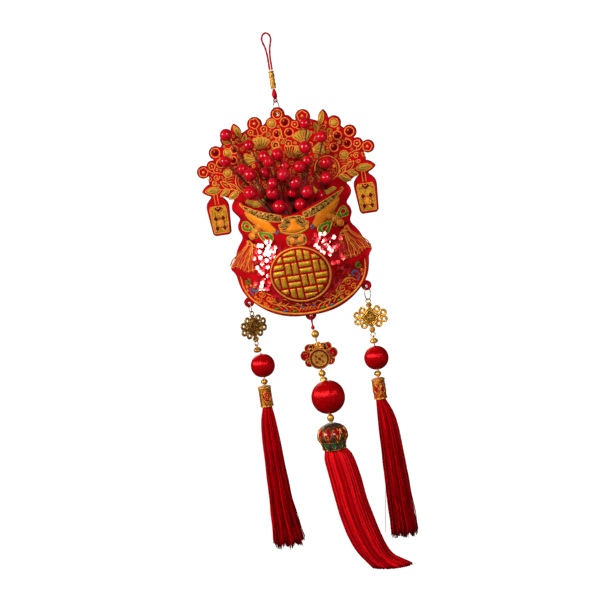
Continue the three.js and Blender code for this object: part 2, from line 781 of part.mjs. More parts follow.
function sideDrop(row) {
  const { side, way, ring_radius, ring_yaw, ball_x, ball_z, ball_r, cap_x, cap_top, cap_bottom } = row;
  const hole = onPlaque(way * SIDE_TAB.u, SIDE_TAB.v - TAB_HOLE_DROP);
  const ring = wireRing(ring_radius, RING_WIRE, hole.x, hole.z - ring_radius, ring_yaw);
  const charm = knotCharm(row);
  const bead_foot = row.bead_z - UPPER_BEAD.half_height;
  const eye_z = row.bead_z + UPPER_BEAD.eye_rise;
  const { radius, half_height, stub, eye_radius, eye_wire } = UPPER_BEAD;
  const bead = joined([
    threaded(row.bead_z, radius, half_height, row.charm_x, row.bead_z + stub, bead_foot),
    wireRing(eye_radius, eye_wire, row.charm_x, eye_z, charmEyeYaw(row), 8, 4),
  ]);
  const ball_foot = ball_z - ball_r - BALL_TAIL;
  const ball = threaded(ball_z, ball_r, ball_r * BALL_SQUASH, ball_x, bead_foot - GAP, ball_foot, 16);
  const lower = threaded(
    row.lower_bead_z,
    LOWER_BEAD.radius,
    LOWER_BEAD.half_height,
    (ball_x + cap_x) / 2,
    ball_foot - GAP,
    cap_top + GAP,
  );
  const cap = turned(capProfile(CAP_RADIUS, cap_top, cap_bottom), cap_x, 12);
  const head = {
    x: cap_x,
    radius: HEAD.radius,
    top: cap_bottom + HEAD.rise,
    bottom: cap_bottom - HEAD.drop,
  };
  const route = (a, b) =>
    row.ends.map(({ z, x, half }, k) => {
      const low = k / (row.ends.length - 1);
      const stray = wander(a, b, row.seed + k) * STRAY * low;
      const uneven = wander(a, b, row.seed) * UNEVEN_END * low;
      return new THREE.Vector3(x + a * half + stray, b * half * SIDE_DEPTH - stray, z + uneven);
    });
  return [
    piece(`${side}_ring`, FINISHES.gold, ring),
    charm,
    piece(`${side}_upper_bead`, FINISHES.gold, bead),
    piece(`${side}_ball`, FINISHES.silk, ball),
    piece(`${side}_lower_bead`, FINISHES.gold, lower),
    piece(`${side}_cap`, FINISHES.brocade, cap),
    tassel(`${side}_tassel`, head, route, LOCK_RADIUS),
  ];
}

// The bead's own eye stands square to the charm's lower eye, which it links.
function charmEyeYaw({ charm_turn }) {
  return charm_turn + Math.PI / 2;
}

// The middle charm: a coin with cloud scrolls round it, under a small crown.
const COIN = { x: 4.8, z: -291.4, radius: 9.6, thickness: 3.4, cloud: 2.4, crown_v: 12.3, crown: 3.4 };
const CLOUD_LOBES = [
  { u: 4.6, v: 10.2, r: 4.2 },
  { u: 8.4, v: 10.6, r: 4 },
  { u: 12, v: 4.2, r: 5 },
  { u: 9.6, v: -2.4, r: 4.2 },
];

function coinCharm() {
  const parts = [
    disc(0, 0, COIN.radius, COIN.thickness, 24),
    ...CLOUD_LOBES.flatMap(mirrored).map(({ u, v, r }) => disc(u, v, r, COIN.cloud, 11)),
    disc(0, COIN.crown_v, COIN.crown, COIN.cloud + 0.4, 12),
  ];
  const charm = piece("middle_charm", FINISHES.enamel, joined(parts));
  charm.position.set(COIN.x, 0, COIN.z);
  return charm;
}

// The middle tassel sweeps to the right and its end lies level, as if it had brushed a table.
const SWEEP = [
  { left_x: -2.2, left_z: -376, right_x: 14.4, right_z: -376, deep: 8.2 },
  { left_x: -3.6, left_z: -379, right_x: 18.4, right_z: -378.4, deep: 9.4 },
  { left_x: -4.6, left_z: -386, right_x: 22.2, right_z: -386, deep: 11 },
  { left_x: -2.4, left_z: -405, right_x: 25.8, right_z: -404, deep: 11 },
  { left_x: 0.6, left_z: -432, right_x: 29.4, right_z: -430, deep: 10 },
  { left_x: 6, left_z: -459, right_x: 35.8, right_z: -457, deep: 8.5 },
  { left_x: 13.6, left_z: -477, right_x: 43.6, right_z: -479, deep: 7 },
  { left_x: 25, left_z: -492, right_x: 62, right_z: -492.4, deep: 6 },
];
const MIDDLE_LOCK_RADIUS = 1.3;
const MIDDLE_HEAD = { x: 6, radius: 9.2, top: -360.2, bottom: -371 };
const END_SLANT = 1.2;

// Heights down the middle drop: each piece's thread ends where the next one's starts.
const LINK_RADIUS = 3.6;
const LINK_CORD = 0.5;
const LINK_FOOT = -264.4;
const COIN_FOOT = -301;
const CHARM_BEAD_FOOT = -308.4;
const CONE_FOOT = -311.5;
const MIDDLE_BALL_FOOT = -343.3;
const CROWN_TOP = -351.2;

// The link is a loop of cord through the lowest tab, tied off in a small knot.
function linkCord(hole) {
  const neck = hole.z - 2 * LINK_RADIUS;
  const profile = [
    [0, LINK_FOOT],
    [0.9, LINK_FOOT],
    [1.7, LINK_FOOT + 1.8],
    [0.9, LINK_FOOT + 4],
    [THREAD, neck],
    [0, neck],
  ];
  return joined([
    wireRing(LINK_RADIUS, LINK_CORD, hole.x, hole.z - LINK_RADIUS, Math.PI / 2, 14),
    turned(profile, hole.x, 10),
  ]);
}

const CONE_PROFILE = [
  [0, CONE_FOOT],
  [3.6, CONE_FOOT],
  [3.1, CONE_FOOT + 1.7],
  [2.2, CHARM_BEAD_FOOT - GAP],
  [0, CHARM_BEAD_FOOT - GAP],
];

// A domed filigree cap, hollow below, that narrows to a second crown.
const CROWN_PROFILE = [
  [0, -359.8],
  [9.8, -359.8],
  [10.1, -375.3],
  [10.8, -375.4],
  [11.8, -369.4],
  [13.8, -366],
  [14, -362],
  [12.6, -357.8],
  [9, -354.4],
  [4, -352],
  [0, CROWN_TOP - GAP],
];

function middleDrop() {
  const hole = onPlaque(BOTTOM_TAB.u, BOTTOM_TAB.v - TAB_HOLE_DROP);
  const top_bead = threaded(-268.5, 3.6, 3.4, 4.1, LINK_FOOT - GAP, -275.4);
  const charm_bead = threaded(-305.2, 3.5, 3, 4.9, COIN_FOOT - GAP, CHARM_BEAD_FOOT);
  const ball = threaded(-327.5, 15.4, 15.3, 7.2, CONE_FOOT - GAP, MIDDLE_BALL_FOOT, 20);
  const lower_bead = threaded(-347.1, 3.4, 3.4, 6.6, MIDDLE_BALL_FOOT - GAP, CROWN_TOP + 0.2);
  const route = (a, b) =>
    SWEEP.map(({ left_x, left_z, right_x, right_z, deep }, k) => {
      const share = (a + 1) / 2;
      const stray = wander(a, b, 3 + k) * STRAY * (k / SWEEP.length);
      const slant = k === SWEEP.length - 1 ? b * END_SLANT : 0;
      return new THREE.Vector3(
        lerp(left_x, right_x, share) + stray,
        b * deep - stray,
        lerp(left_z, right_z, share) + slant,
      );
    });
  return [
    piece("middle_link", FINISHES.cord, linkCord(hole)),
    piece("middle_top_bead", FINISHES.gold, top_bead),
    coinCharm(),
    piece("middle_charm_bead", FINISHES.gold, charm_bead),
    piece("middle_cone", FINISHES.gold, turned(CONE_PROFILE, 5.6, 14)),
    piece("middle_ball", FINISHES.silk, ball),
    piece("middle_lower_bead", FINISHES.gold, lower_bead),
    piece("middle_cap", FINISHES.antique, turned(CROWN_PROFILE, MIDDLE_HEAD.x, 16)),
    tassel("middle_tassel", MIDDLE_HEAD, route, MIDDLE_LOCK_RADIUS),
  ];
}

// The whole hanging

const plaque = new THREE.Group();
plaque.position.set(0, 0, EYELET_Z);
plaque.rotation.y = -PLAQUE_TURN;
plaque.add(feltBacking(), pocketFront(), medallion(), ...berries());

const hanging = new THREE.Group();
hanging.add(plaque, hangingLoop(), goldSleeve(), topKnot(), topRing());
for (const row of SIDE_DROPS) hanging.add(...sideDrop(row));
hanging.add(...middleDrop());

export default hanging;
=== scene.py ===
# A festive hanging: a red felt plaque printed in gold, a felt pocket full of lacquered berries, a round
# medallion, and three drops of charm, beads, silk-wound ball, cap and tassel.
# Every size is in millimetres until a piece is made, which turns it into metres.
import math
import random

import bpy
import bmesh
import numpy as np
from mathutils import Matrix, Vector, kdtree
from mathutils.geometry import delaunay_2d_cdt


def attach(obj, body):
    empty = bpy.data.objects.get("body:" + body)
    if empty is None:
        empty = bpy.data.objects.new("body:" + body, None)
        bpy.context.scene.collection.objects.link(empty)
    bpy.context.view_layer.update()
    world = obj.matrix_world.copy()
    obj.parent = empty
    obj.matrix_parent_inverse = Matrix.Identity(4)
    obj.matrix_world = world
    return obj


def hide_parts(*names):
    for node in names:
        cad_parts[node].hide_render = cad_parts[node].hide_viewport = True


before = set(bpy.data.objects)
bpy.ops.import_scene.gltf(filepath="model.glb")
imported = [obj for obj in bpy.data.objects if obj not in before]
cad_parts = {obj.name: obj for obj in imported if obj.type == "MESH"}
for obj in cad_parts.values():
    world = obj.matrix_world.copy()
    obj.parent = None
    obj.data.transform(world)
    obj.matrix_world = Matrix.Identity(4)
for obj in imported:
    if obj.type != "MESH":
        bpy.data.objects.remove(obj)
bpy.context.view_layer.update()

# The camera looks from a little to the right and a little above, through a long lens. It leans, so the
# hanging's top tilts to the left of the picture.
camera_turn, camera_rise, camera_lean = (math.radians(angle) for angle in (8, 9, 8.6))
camera_distance = 1.295
looked_at = Vector((-0.0004, 0, -0.2422))
backward = Vector(
    (
        math.sin(camera_turn) * math.cos(camera_rise),
        -math.cos(camera_turn) * math.cos(camera_rise),
        math.sin(camera_rise),
    )
)
level = Vector((math.cos(camera_turn), math.sin(camera_turn), 0))
upright = backward.cross(level)
rightward = level * math.cos(camera_lean) - upright * math.sin(camera_lean)
upward = level * math.sin(camera_lean) + upright * math.cos(camera_lean)
lens = bpy.data.cameras.new("camera")
lens.lens = 85
lens.sensor_width = 36
camera = bpy.data.objects.new("camera", lens)
bpy.context.scene.collection.objects.link(camera)
camera.matrix_world = Matrix((rightward, upward, backward)).transposed().to_4x4()
camera.location = looked_at + backward * camera_distance
bpy.context.scene.camera = camera


# The hanging cord is one soft satin cord, doubled into a loop. Its two legs run down into the gold sleeve,
# so it is a single length that leaves the sleeve and comes back to it.
class Signal:
    """A shader output that Python's operators work on, each adding one Math node."""

    def __init__(self, tree, socket):
        self.tree = tree
        self.socket = socket

    def math(self, operation, *values):
        made = self.tree.nodes.new("ShaderNodeMath")
        made.operation = operation
        for slot, value in zip(made.inputs, values):
            plug(self.tree, slot, value)
        return Signal(self.tree, made.outputs[0])

    def __add__(self, other):
        return self.math("ADD", self, other)

    def __sub__(self, other):
        return self.math("SUBTRACT", self, other)

    def __mul__(self, other):
        return self.math("MULTIPLY", self, other)

    def __lt__(self, other):
        return self.math("LESS_THAN", self, other)

    def __abs__(self):
        return self.math("ABSOLUTE", self)

    __radd__ = __add__
    __rmul__ = __mul__


def plug(tree, slot, value):
    if isinstance(value, Signal):
        tree.links.new(value.socket, slot)
    else:
        slot.default_value = value


class Finish:
    """A surface: a Principled shader with constant values, and nodes added one call at a time."""

    def __init__(self, name, constants):
        self.material = bpy.data.materials.new(name)
        self.material.use_nodes = True
        self.tree = self.material.node_tree
        self.shader = self.tree.nodes["Principled BSDF"]
        self.feed(constants)

    def feed(self, values):
        for name, value in values.items():
            plug(self.tree, self.shader.inputs[name], value)

    def node(self, kind, settings, inputs, output=0):
        made = self.tree.nodes.new(kind)
        for name, value in settings.items():
            if name == "stops":
                made.color_ramp.elements.remove(made.color_ramp.elements[1])
                made.color_ramp.elements[0].position, made.color_ramp.elements[0].color = value[0]
                for place, colour in value[1:]:
                    made.color_ramp.elements.new(place).color = colour
            else:
                setattr(made, name, value)
        for name, value in inputs.items():
            plug(self.tree, made.inputs[name], value)
        return Signal(self.tree, made.outputs[output])

    def where(self):
        return self.node("ShaderNodeTexCoord", {}, {}, output=3)

    def noise(self, size, detail):
        """Noise whose features are about size millimetres across."""
        inputs = {"Scale": 1000 / size, "Detail": detail, "Vector": self.where()}
        return self.node("ShaderNodeTexNoise", {}, inputs)

    def blend(self, factor, first, second):
        inputs = {0: factor, 6: first, 7: second}
        return self.node("ShaderNodeMix", {"data_type": "RGBA"}, inputs, output=2)

    def shade(self, factor, *stops):
        """The base colour, from a ramp whose stops are places and colours."""
        self.feed({"Base Color": self.node("ShaderNodeValToRGB", {"stops": stops}, {"Fac": factor})})

    def bump(self, height, depth, strength=1.0):
        """Relief of depth millimetres."""
        inputs = {"Height": height, "Distance": depth / 1000, "Strength": strength}
        self.feed({"Normal": self.node("ShaderNodeBump", {}, inputs)})


def colour(red, green, blue):
    return (red, green, blue, 1)


class Heap:
    """Points and faces, in millimetres, gathered into one mesh. Each face has the number of its finish."""

    def __init__(self):
        self.points = []
        self.faces = []
        self.finish = []
        self.count = 0

    def add(self, points, faces, finish=0):
        start = self.count
        self.points.append(np.asarray(points, float).reshape(-1, 3))
        self.count += len(self.points[-1])
        for face in faces:
            self.faces.append([start + int(corner) for corner in face])
        self.finish += [finish] * len(faces)

    def add_grid(self, grid, finish=0, around=True, along=False, capped=True):
        """A grid of points, rows by columns, closed around its columns or along its rows."""
        rows, columns = grid.shape[:2]
        i, j = np.meshgrid(
            np.arange(rows if along else rows - 1),
            np.arange(columns if around else columns - 1),
            indexing="ij",
        )
        below, beside = (i + 1) % rows, (j + 1) % columns
        corners = (i * columns + j, i * columns + beside, below * columns + beside, below * columns + j)
        faces = np.stack(corners, -1).reshape(-1, 4).tolist()
        if around and capped and not along:
            faces.append(list(range(columns))[::-1])
            faces.append(list(range((rows - 1) * columns, rows * columns)))
        self.add(grid, faces, finish)


def make(name, heap, finishes, replaced=(), crease=None):
    """Makes the piece: its mesh in metres, its finishes, its body and the solids it stands for."""
    mesh = bpy.data.meshes.new(name)
    mesh.from_pydata((np.concatenate(heap.points) / 1000).tolist(), [], heap.faces)
    for finish in finishes:
        mesh.materials.append(finish.material)
    mesh.polygons.foreach_set("material_index", heap.finish)
    shell = bmesh.new()
    shell.from_mesh(mesh)
    bmesh.ops.recalc_face_normals(shell, faces=shell.faces)
    shell.to_mesh(mesh)
    shell.free()
    mesh.shade_smooth()
    if crease:
        mesh.set_sharp_from_angle(angle=math.radians(crease))
    made = bpy.data.objects.new(name, mesh)
    bpy.context.scene.collection.objects.link(made)
    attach(made, "root")
    if replaced:
        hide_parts(*replaced)
    return made


def resample(points, spacing, closed=False):
    """The same line, with points about spacing apart."""
    points = np.asarray(points, float)
    if closed:
        points = np.concatenate([points, points[:1]])
    run = np.concatenate([[0], np.cumsum(np.linalg.norm(np.diff(points, axis=0), axis=1))])
    count = max(3, int(round(run[-1] / spacing)) + 1)
    at = np.linspace(0, run[-1], count)
    line = np.stack([np.interp(at, run, column) for column in points.T], -1)
    return line[:-1] if closed else line


def smooth(points, spacing, closed=False):
    """A smooth line through the points."""
    points = np.asarray(points, float)
    if closed:
        held = np.concatenate([points[-1:], points, points[:2]])
    else:
        held = np.concatenate([2 * points[:1] - points[1:2], points, 2 * points[-1:] - points[-2:-1]])
    share = np.linspace(0, 1, 12, endpoint=False)[:, None]
    line = []
    for before, here, there, after in zip(held, held[1:], held[2:], held[3:]):
        line.append(
            0.5
            * (
                2 * here
                + (there - before) * share
                + (2 * before - 5 * here + 4 * there - after) * share**2
                + (3 * here - before - 3 * there + after) * share**3
            )
        )
    line = np.concatenate(line + ([] if closed else [points[-1:]]))
    return resample(line, spacing, closed)


def tube(path, radius, sides, closed=False, plies=0, relief=0.0, pitch=1.0):
    """Rings of points round a path. plies, relief and pitch twist the surface like a laid cord."""
    path = np.asarray(path, float)
    if closed:
        tangent = np.roll(path, -1, axis=0) - np.roll(path, 1, axis=0)
    else:
        tangent = np.gradient(path, axis=0)
    tangent /= np.linalg.norm(tangent, axis=1)[:, None]
    side = np.cross(tangent[0], (0.3, 1.0, 0.2))
    sides_out = []
    for direction in tangent:
        side = side - direction * np.dot(side, direction)
        side /= np.linalg.norm(side)
        sides_out.append(side)
    side = np.array(sides_out)
    other = np.cross(tangent, side)
    angle = np.linspace(0, 2 * math.pi, sides, endpoint=False)[None, :, None]
    run = np.arange(len(path)) * np.linalg.norm(path[1] - path[0])
    thick = np.broadcast_to(np.asarray(radius, float), (len(path),))[:, None, None]
    if plies:
        thick = thick * (1 + relief * np.cos(plies * angle - 2 * math.pi * run[:, None, None] / pitch))
    return path[:, None] + thick * (side[:, None] * np.cos(angle) + other[:, None] * np.sin(angle))


def satin(name, base, dark, roughness=0.42):
    """Silk or satin thread: shade by shade between two reds, with a soft sheen."""
    finish = Finish(name, {"Roughness": roughness, "Specular Tint": colour(1.0, 0.08, 0.1)})
    finish.shade(finish.noise(1.6, 3) * 0.7 + finish.noise(0.35, 1) * 0.3, (0.3, dark), (0.62, base))
    finish.bump(finish.noise(0.25, 1), 0.05, 0.5)
    return finish


cord_radius = 0.85
sleeve_top, sleeve_bottom = -31.5, -47.5
loop_side = [(1.05, -31.2), (1.05, -26), (1.15, -19), (2, -12), (3.5, -7), (3.9, -3.6), (2.6, -0.5)]
loop_route = loop_side + [(0, cord_radius)] + [(-x, z) for x, z in reversed(loop_side)]
cord_path = smooth([(x, 0, z) for x, z in loop_route], 0.35)
cord_silk = satin("cord_silk", colour(0.5, 0.003, 0.012), colour(0.24, 0.0, 0.004))
loop = Heap()
loop.add_grid(tube(cord_path, cord_radius * 0.97, 20, plies=2, relief=0.07, pitch=5))
hanging_loop = make("hanging_loop_cord", loop, [cord_silk], ["hanging_loop"])


# The gold sleeve is wound on the doubled cord from bright metallic thread: two barrels between rolled
# bands. Each turn of thread stands up a little, so the barrels are ribbed.
def turned(profile, x=0.0, sides=64):
    """Rings of points round an upright axis, from (radius, z) pairs."""
    profile = np.asarray(profile, float)
    angle = np.linspace(0, 2 * math.pi, sides, endpoint=False)
    ring = np.stack([np.cos(angle), np.sin(angle)], -1)
    grid = np.zeros((len(profile), sides, 3))
    grid[:, :, :2] = profile[:, None, :1] * ring[None] + (x, 0)
    grid[:, :, 2] = profile[:, 1:]
    return grid


def metal(name, bright, dark, roughness, grain=0.6, pit=0.04):
    """Gilded metal whose hollows and grain have darkened."""
    finish = Finish(name, {"Metallic": 0.8})
    finish.shade(finish.noise(grain * 4, 4), (0.35, dark), (0.6, bright))
    finish.feed({"Roughness": roughness + 0.25 * finish.noise(grain, 2) - 0.1})
    finish.bump(finish.noise(grain, 3), pit, 0.6)
    return finish


bright_gold = metal("bright_gold", colour(1.0, 0.54, 0.1), colour(0.62, 0.26, 0.03), 0.38)
sleeve_bands = [
    (2.0, 0), (2.5, 0.3), (2.5, 0.9), (2.0, 1.4), (2.55, 2.4), (2.6, 4.6), (2.0, 5.8), (2.4, 6.5),
    (2.4, 8.3), (2.0, 9.0), (2.6, 10.0), (2.6, 12.8), (2.0, 13.7), (2.4, 14.3), (2.4, 15.2),
    (1.9, 15.7),
]
thread_turns = 46
rise = np.linspace(0, sleeve_top - sleeve_bottom - 0.3, thread_turns * 5)
width = np.interp(rise, [row[1] for row in sleeve_bands], [row[0] for row in sleeve_bands])
width = width * 0.98 + 0.05 * np.sin(rise / rise[-1] * thread_turns * 2 * math.pi)
sleeve = Heap()
sleeve.add_grid(turned(np.stack([width, sleeve_bottom + rise], -1), sides=40))
make("gold_sleeve_winding", sleeve, [bright_gold], ["gold_sleeve"])

# Under the sleeve the cord is tied in a long wrapped knot, whose own small loop holds a split ring of
# bright wire. The ring passes through the eyelet in the plaque's top lobe.
knot_bottom = -56.9
knot_profile = [(0.9, -57.0), (1.9, -55.1), (2.3, -53.3), (2.15, -51.5), (1.8, -50.3)]
knot_profile += [(1.3, -48.8), (1.15, -47.8)]
knot_line = smooth(knot_profile, 0.2)
wrap = Heap()
angle = np.linspace(0, 2 * math.pi, 40, endpoint=False)
knot_grid = turned(knot_line, sides=40)
twist = 1 + 0.06 * np.cos(3 * angle[None] - knot_line[:, 1:] * 0.9)
knot_grid[:, :, :2] *= twist[:, :, None]
wrap.add_grid(knot_grid)


def ring_path(radius, x, z, yaw=0.0, count=48, y=0.0):
    """A circle that stands upright, its axis turned by yaw from the front."""
    angle = np.linspace(0, 2 * math.pi, count, endpoint=False)
    across = radius * np.cos(angle)
    up = radius * np.sin(angle)
    return np.stack([x + across * math.cos(yaw), y + across * math.sin(yaw), z + up], -1)


wrap.add_grid(tube(ring_path(1.5, 0, knot_bottom - 0.9), 0.55, 14, closed=True), along=True)
make("top_knot_wrap", wrap, [cord_silk], ["top_knot"])

bright_wire = metal("bright_wire", colour(0.6, 0.5, 0.32), colour(0.22, 0.16, 0.08), 0.26)
eyelet_z = -70
top_ring = Heap()
top_ring.add_grid(tube(ring_path(6, 0, eyelet_z + 6, 1.31), 0.44, 12, closed=True), along=True)
make("top_ring_wire", top_ring, [bright_wire], ["top_ring"])

# The backing is one die-cut sheet of stiff red felt, 3 mm thick, whose cut sides are coloured darker. Lobes
# for flowers and berries run round its top, and a leaf and a paper-charm tag stand out at each side.
felt, pocket_felt, gap = 3.0, 2.5, 0.3
plaque_turn = math.radians(0.9)
half_backing = [
    (0, 3), (14.5, -7.5), (28.5, -8.5), (36, -12), (46, -11), (54, -19), (62, -29), (69.5, -42),
    (71, -50), (64, -61), (56, -66),
]
lobes = [
    (6.2, -7.5, 6), (21.6, -5.5, 6.7), (48, -14.8, 6.3), (60.3, -24.8, 6.2), (65.4, -35.6, 5),
    (74.2, -39.8, 5.8),
]
leaves = [((38, -17), (40.3, -1.5), 4.6), ((60, -56), (78.6, -57.3), 5.6)]
bag_side_points = np.array(
    [
        (50, -68), (53.5, -73), (53.5, -78), (47, -85.5), (50.6, -90), (51.2, -95), (47.5, -102.5),
        (54.5, -111), (58.5, -121), (64.6, -128.5), (60, -134), (59, -142), (57, -150),
        (52.5, -158),
    ],
    float,
)
side_tab, bottom_tab, tab_hole_drop, eyelet_radius = (53.5, -161.5, 4.6), (0, -180.5, 5), 0.8, 1.2
tag = [(4.6, -60), (4.6, -63.4), (7.4, -65.8), (9.5, -68.6), (10.3, -72), (10.1, -76), (8.4, -96), (6.4, -98)]
tag_u = 66.6


def on_row(points):
    """From the plaque's across, depth and up to the row's X, Y and Z."""
    across, deep, up = np.moveaxis(np.asarray(points, float), -1, 0)
    turn_cos, turn_sin = math.cos(plaque_turn), math.sin(plaque_turn)
    row_x = across * turn_cos - up * turn_sin
    return np.stack([row_x, deep, eyelet_z + across * turn_sin + up * turn_cos], -1)


def bag_side(t):
    """The bag's side from its mouth, 0, to its lower tab, 1, with its corners eased."""
    place = np.asarray(t, float)[..., None] + np.array([-0.35, -0.17, 0, 0.17, 0.35]) / 13
    place = np.clip(place, 0, 1) * (len(bag_side_points) - 1)
    count = np.arange(len(bag_side_points))
    u = np.interp(place, count, bag_side_points[:, 0]).mean(-1)
    v = np.interp(place, count, bag_side_points[:, 1]).mean(-1)
    return u, v


def bag_plan(s, t):
    """The bag seen flat: s runs across from -1 to 1 and t down from its mouth."""
    side_u, side_v = bag_side(t)
    fall = (-68 - side_v) / 90
    middle = -86 - 94.5 * fall
    curve = 1.25 + 1.35 * fall
    return s * side_u, middle + (side_v - middle) * np.abs(s) ** curve, fall


def bag_depth(s, fall):
    """How far in front of the backing's middle the bag's own middle stands."""
    inward = np.clip((1 - np.abs(s) - 0.07) / 0.62, 0, 1)
    belly = 28 * (1 - np.clip(fall, 0, 1) ** 1.6) * np.sin(inward * math.pi / 2)
    return felt / 2 + gap + pocket_felt / 2 + belly


def circle(u, v, radius, count=40):
    angle = np.linspace(0, 2 * math.pi, count, endpoint=False)
    return np.stack([u + radius * np.cos(angle), v + radius * np.sin(angle)], -1)


def leaf_outline(root, tip, half):
    """A leaf from two curves. half is its half width."""
    root, tip = np.array(root, float), np.array(tip, float)
    along = tip - root
    side = np.array([-along[1], along[0]]) / np.linalg.norm(along) * half * 1.35
    share = np.linspace(0, 1, 14)[:, None]
    edges = []
    for way in (1, -1):
        near, far = root + along * 0.2 + side * way, root + along * 0.7 + side * way
        edge = (1 - share) ** 3 * root + 3 * (1 - share) ** 2 * share * near
        edges.append(edge + 3 * (1 - share) * share**2 * far + share**3 * tip)
    return np.concatenate([edges[1][:-1], edges[0][:0:-1]])


def mirror(points):
    """The same outline on the left, still running the same way round."""
    return (np.asarray(points, float) * (-1, 1))[::-1]


def die_cut(shapes):
    """The outer edge of overlapping flat shapes, as one loop with slightly rounded corners."""
    points, faces = [], []
    for shape in shapes:
        area = np.sum(shape[:, 0] * np.roll(shape[:, 1], -1) - shape[:, 1] * np.roll(shape[:, 0], -1))
        shape = shape if area > 0 else shape[::-1]
        faces.append(list(range(len(points), len(points) + len(shape))))
        points += [Vector(point) for point in shape.tolist()]
    made = delaunay_2d_cdt(points, [], faces, 1, 1e-3)
    flat, triangles = made[0], made[2]
    following = {}
    for triangle in triangles:
        for k in range(3):
            following[(triangle[k], triangle[(k + 1) % 3])] = True
    edge = {start: end for start, end in following if (end, start) not in following}
    best = []
    left = set(edge)
    while left:
        start = left.pop()
        loop, here = [start], edge[start]
        while here != start and here in left:
            left.discard(here)
            loop.append(here)
            here = edge[here]
        best = max(best, loop, key=len)
    line = resample([tuple(flat[k]) for k in best], 0.55, closed=True)
    for _ in range(2):
        line = (np.roll(line, 1, axis=0) + 2 * line + np.roll(line, -1, axis=0)) / 4
    return line


def felt_sheet(outline, holes, thickness, rim):
    """Points and faces of a flat sheet with rounded edges: across, depth and up in the plaque's frame."""
    shape = bpy.data.curves.new("felt_outline", "CURVE")
    shape.dimensions = "2D"
    shape.fill_mode = "BOTH"
    shape.extrude = thickness / 2 - rim
    shape.bevel_depth = rim
    shape.bevel_resolution = 2
    shape.offset = -rim
    for loop in [outline, *holes]:
        spline = shape.splines.new("POLY")
        spline.points.add(len(loop) - 1)
        spline.points.foreach_set("co", np.pad(loop, ((0, 0), (0, 2)), constant_values=(0, 0)).ravel())
        spline.use_cyclic_u = True
    holder = bpy.data.objects.new("felt_outline", shape)
    bpy.context.scene.collection.objects.link(holder)
    mesh = bpy.data.meshes.new_from_object(holder.evaluated_get(bpy.context.evaluated_depsgraph_get()))
    bpy.data.objects.remove(holder)
    points = np.array([tuple(vertex.co) for vertex in mesh.vertices])
    faces = [list(polygon.vertices) for polygon in mesh.polygons]
    bpy.data.meshes.remove(mesh)
    return np.stack([points[:, 0], -points[:, 2], points[:, 1]], -1), faces


side_line = np.stack(bag_side(np.linspace(0, 1, 160)), -1)
floor_s = np.linspace(1, -1, 60)[1:-1]
floor_line = np.stack(bag_plan(floor_s, np.ones_like(floor_s))[:2], -1)
half_line = np.concatenate([np.array(half_backing, float), side_line])
whole_line = np.concatenate([half_line, floor_line, mirror(half_line[1:])])
tag_half = np.array(tag, float)
tag_line = np.concatenate([tag_half, mirror(tag_half)]) + (tag_u, 0)
backing_shapes = [whole_line, circle(0, 0, 6.4), circle(*bottom_tab)]
for lobe in [*lobes, side_tab]:
    backing_shapes += [circle(*lobe), mirror(circle(*lobe))]
for root, tip, half in leaves:
    backing_shapes += [leaf_outline(root, tip, half), mirror(leaf_outline(root, tip, half))]
backing_shapes += [tag_line, mirror(tag_line)]
backing_line = die_cut(backing_shapes)
hole_places = [(0, 0), (0, bottom_tab[1] - tab_hole_drop)]
hole_places += [(way * side_tab[0], side_tab[1] - tab_hole_drop) for way in (1, -1)]
backing_holes = [circle(u, v, eyelet_radius, 20) for u, v in hole_places]


def felt_finish(name, base, dark):
    """Flocked felt: a deep pile with lighter and darker patches and fine standing fibres."""
    finish = Finish(name, {"Roughness": 0.95, "Sheen Weight": 0.2, "Sheen Roughness": 0.5})
    finish.feed({"Sheen Tint": colour(1.0, 0.03, 0.05), "Specular IOR Level": 0.1})
    finish.shade(finish.noise(9, 4) * 0.55 + finish.noise(0.5, 2) * 0.45, (0.34, dark), (0.6, base))
    finish.bump(finish.noise(0.28, 3), 0.22, 0.7)
    return finish


red_felt = felt_finish("red_felt", colour(0.56, 0.0, 0.006), colour(0.28, 0.0, 0.002))
felt_edge = felt_finish("felt_edge", colour(0.22, 0.0, 0.004), colour(0.09, 0.0, 0.002))
edge_points, backing_faces = felt_sheet(backing_line, backing_holes, felt, 0.8)
faces_up = [np.ptp(edge_points[face][:, 1]) < 1e-4 for face in backing_faces]
backing = Heap()
backing.add(on_row(edge_points), [face for face, flat in zip(backing_faces, faces_up) if flat], 0)
backing.faces += [face for face, flat in zip(backing_faces, faces_up) if not flat]
backing.finish += [1] * (len(backing_faces) - sum(faces_up))
felt_backing = make("felt_backing_sheet", backing, [red_felt, felt_edge], ["felt_backing"], 50)


# The printing on the backing is thick raised ink: orange-gold lines, olive-gold fills, and a few fills in
# orange. Each line stands about half a millimetre proud of the felt and is rounded across.
def on_backing(places, lift):
    """Points that stand lift in front of the backing's face."""
    return on_row(np.stack([places[:, 0], -felt / 2 - lift, places[:, 1]], -1))


def add_line(heap, line, width, height, place, closed=False, finish=0):
    """A raised line that follows points across and up a surface, with round shoulders and tapered ends."""
    line = np.asarray(line, float)
    if closed:
        along = np.roll(line, -1, axis=0) - np.roll(line, 1, axis=0)
    else:
        along = np.gradient(line, axis=0)
    along /= np.maximum(np.linalg.norm(along, axis=1), 1e-9)[:, None]
    normal = np.stack([-along[:, 1], along[:, 0]], -1)
    run = np.concatenate([[0], np.cumsum(np.linalg.norm(np.diff(line, axis=0), axis=1))])
    taper = np.ones(len(line))
    if not closed:
        taper = np.sqrt(np.clip(np.minimum(run, run[-1] - run) / width + 0.1, 0.1, 1))
    rows = []
    for across, lift in ((-0.5, -0.15), (-0.38, 0.7), (0, 1), (0.38, 0.7), (0.5, -0.15)):
        spot = line + normal * (across * width * taper)[:, None]
        rows.append(place(spot, lift * height * (taper if lift > 0 else np.ones(len(line)))))
    heap.add_grid(np.stack(rows, 1), finish, along=closed)


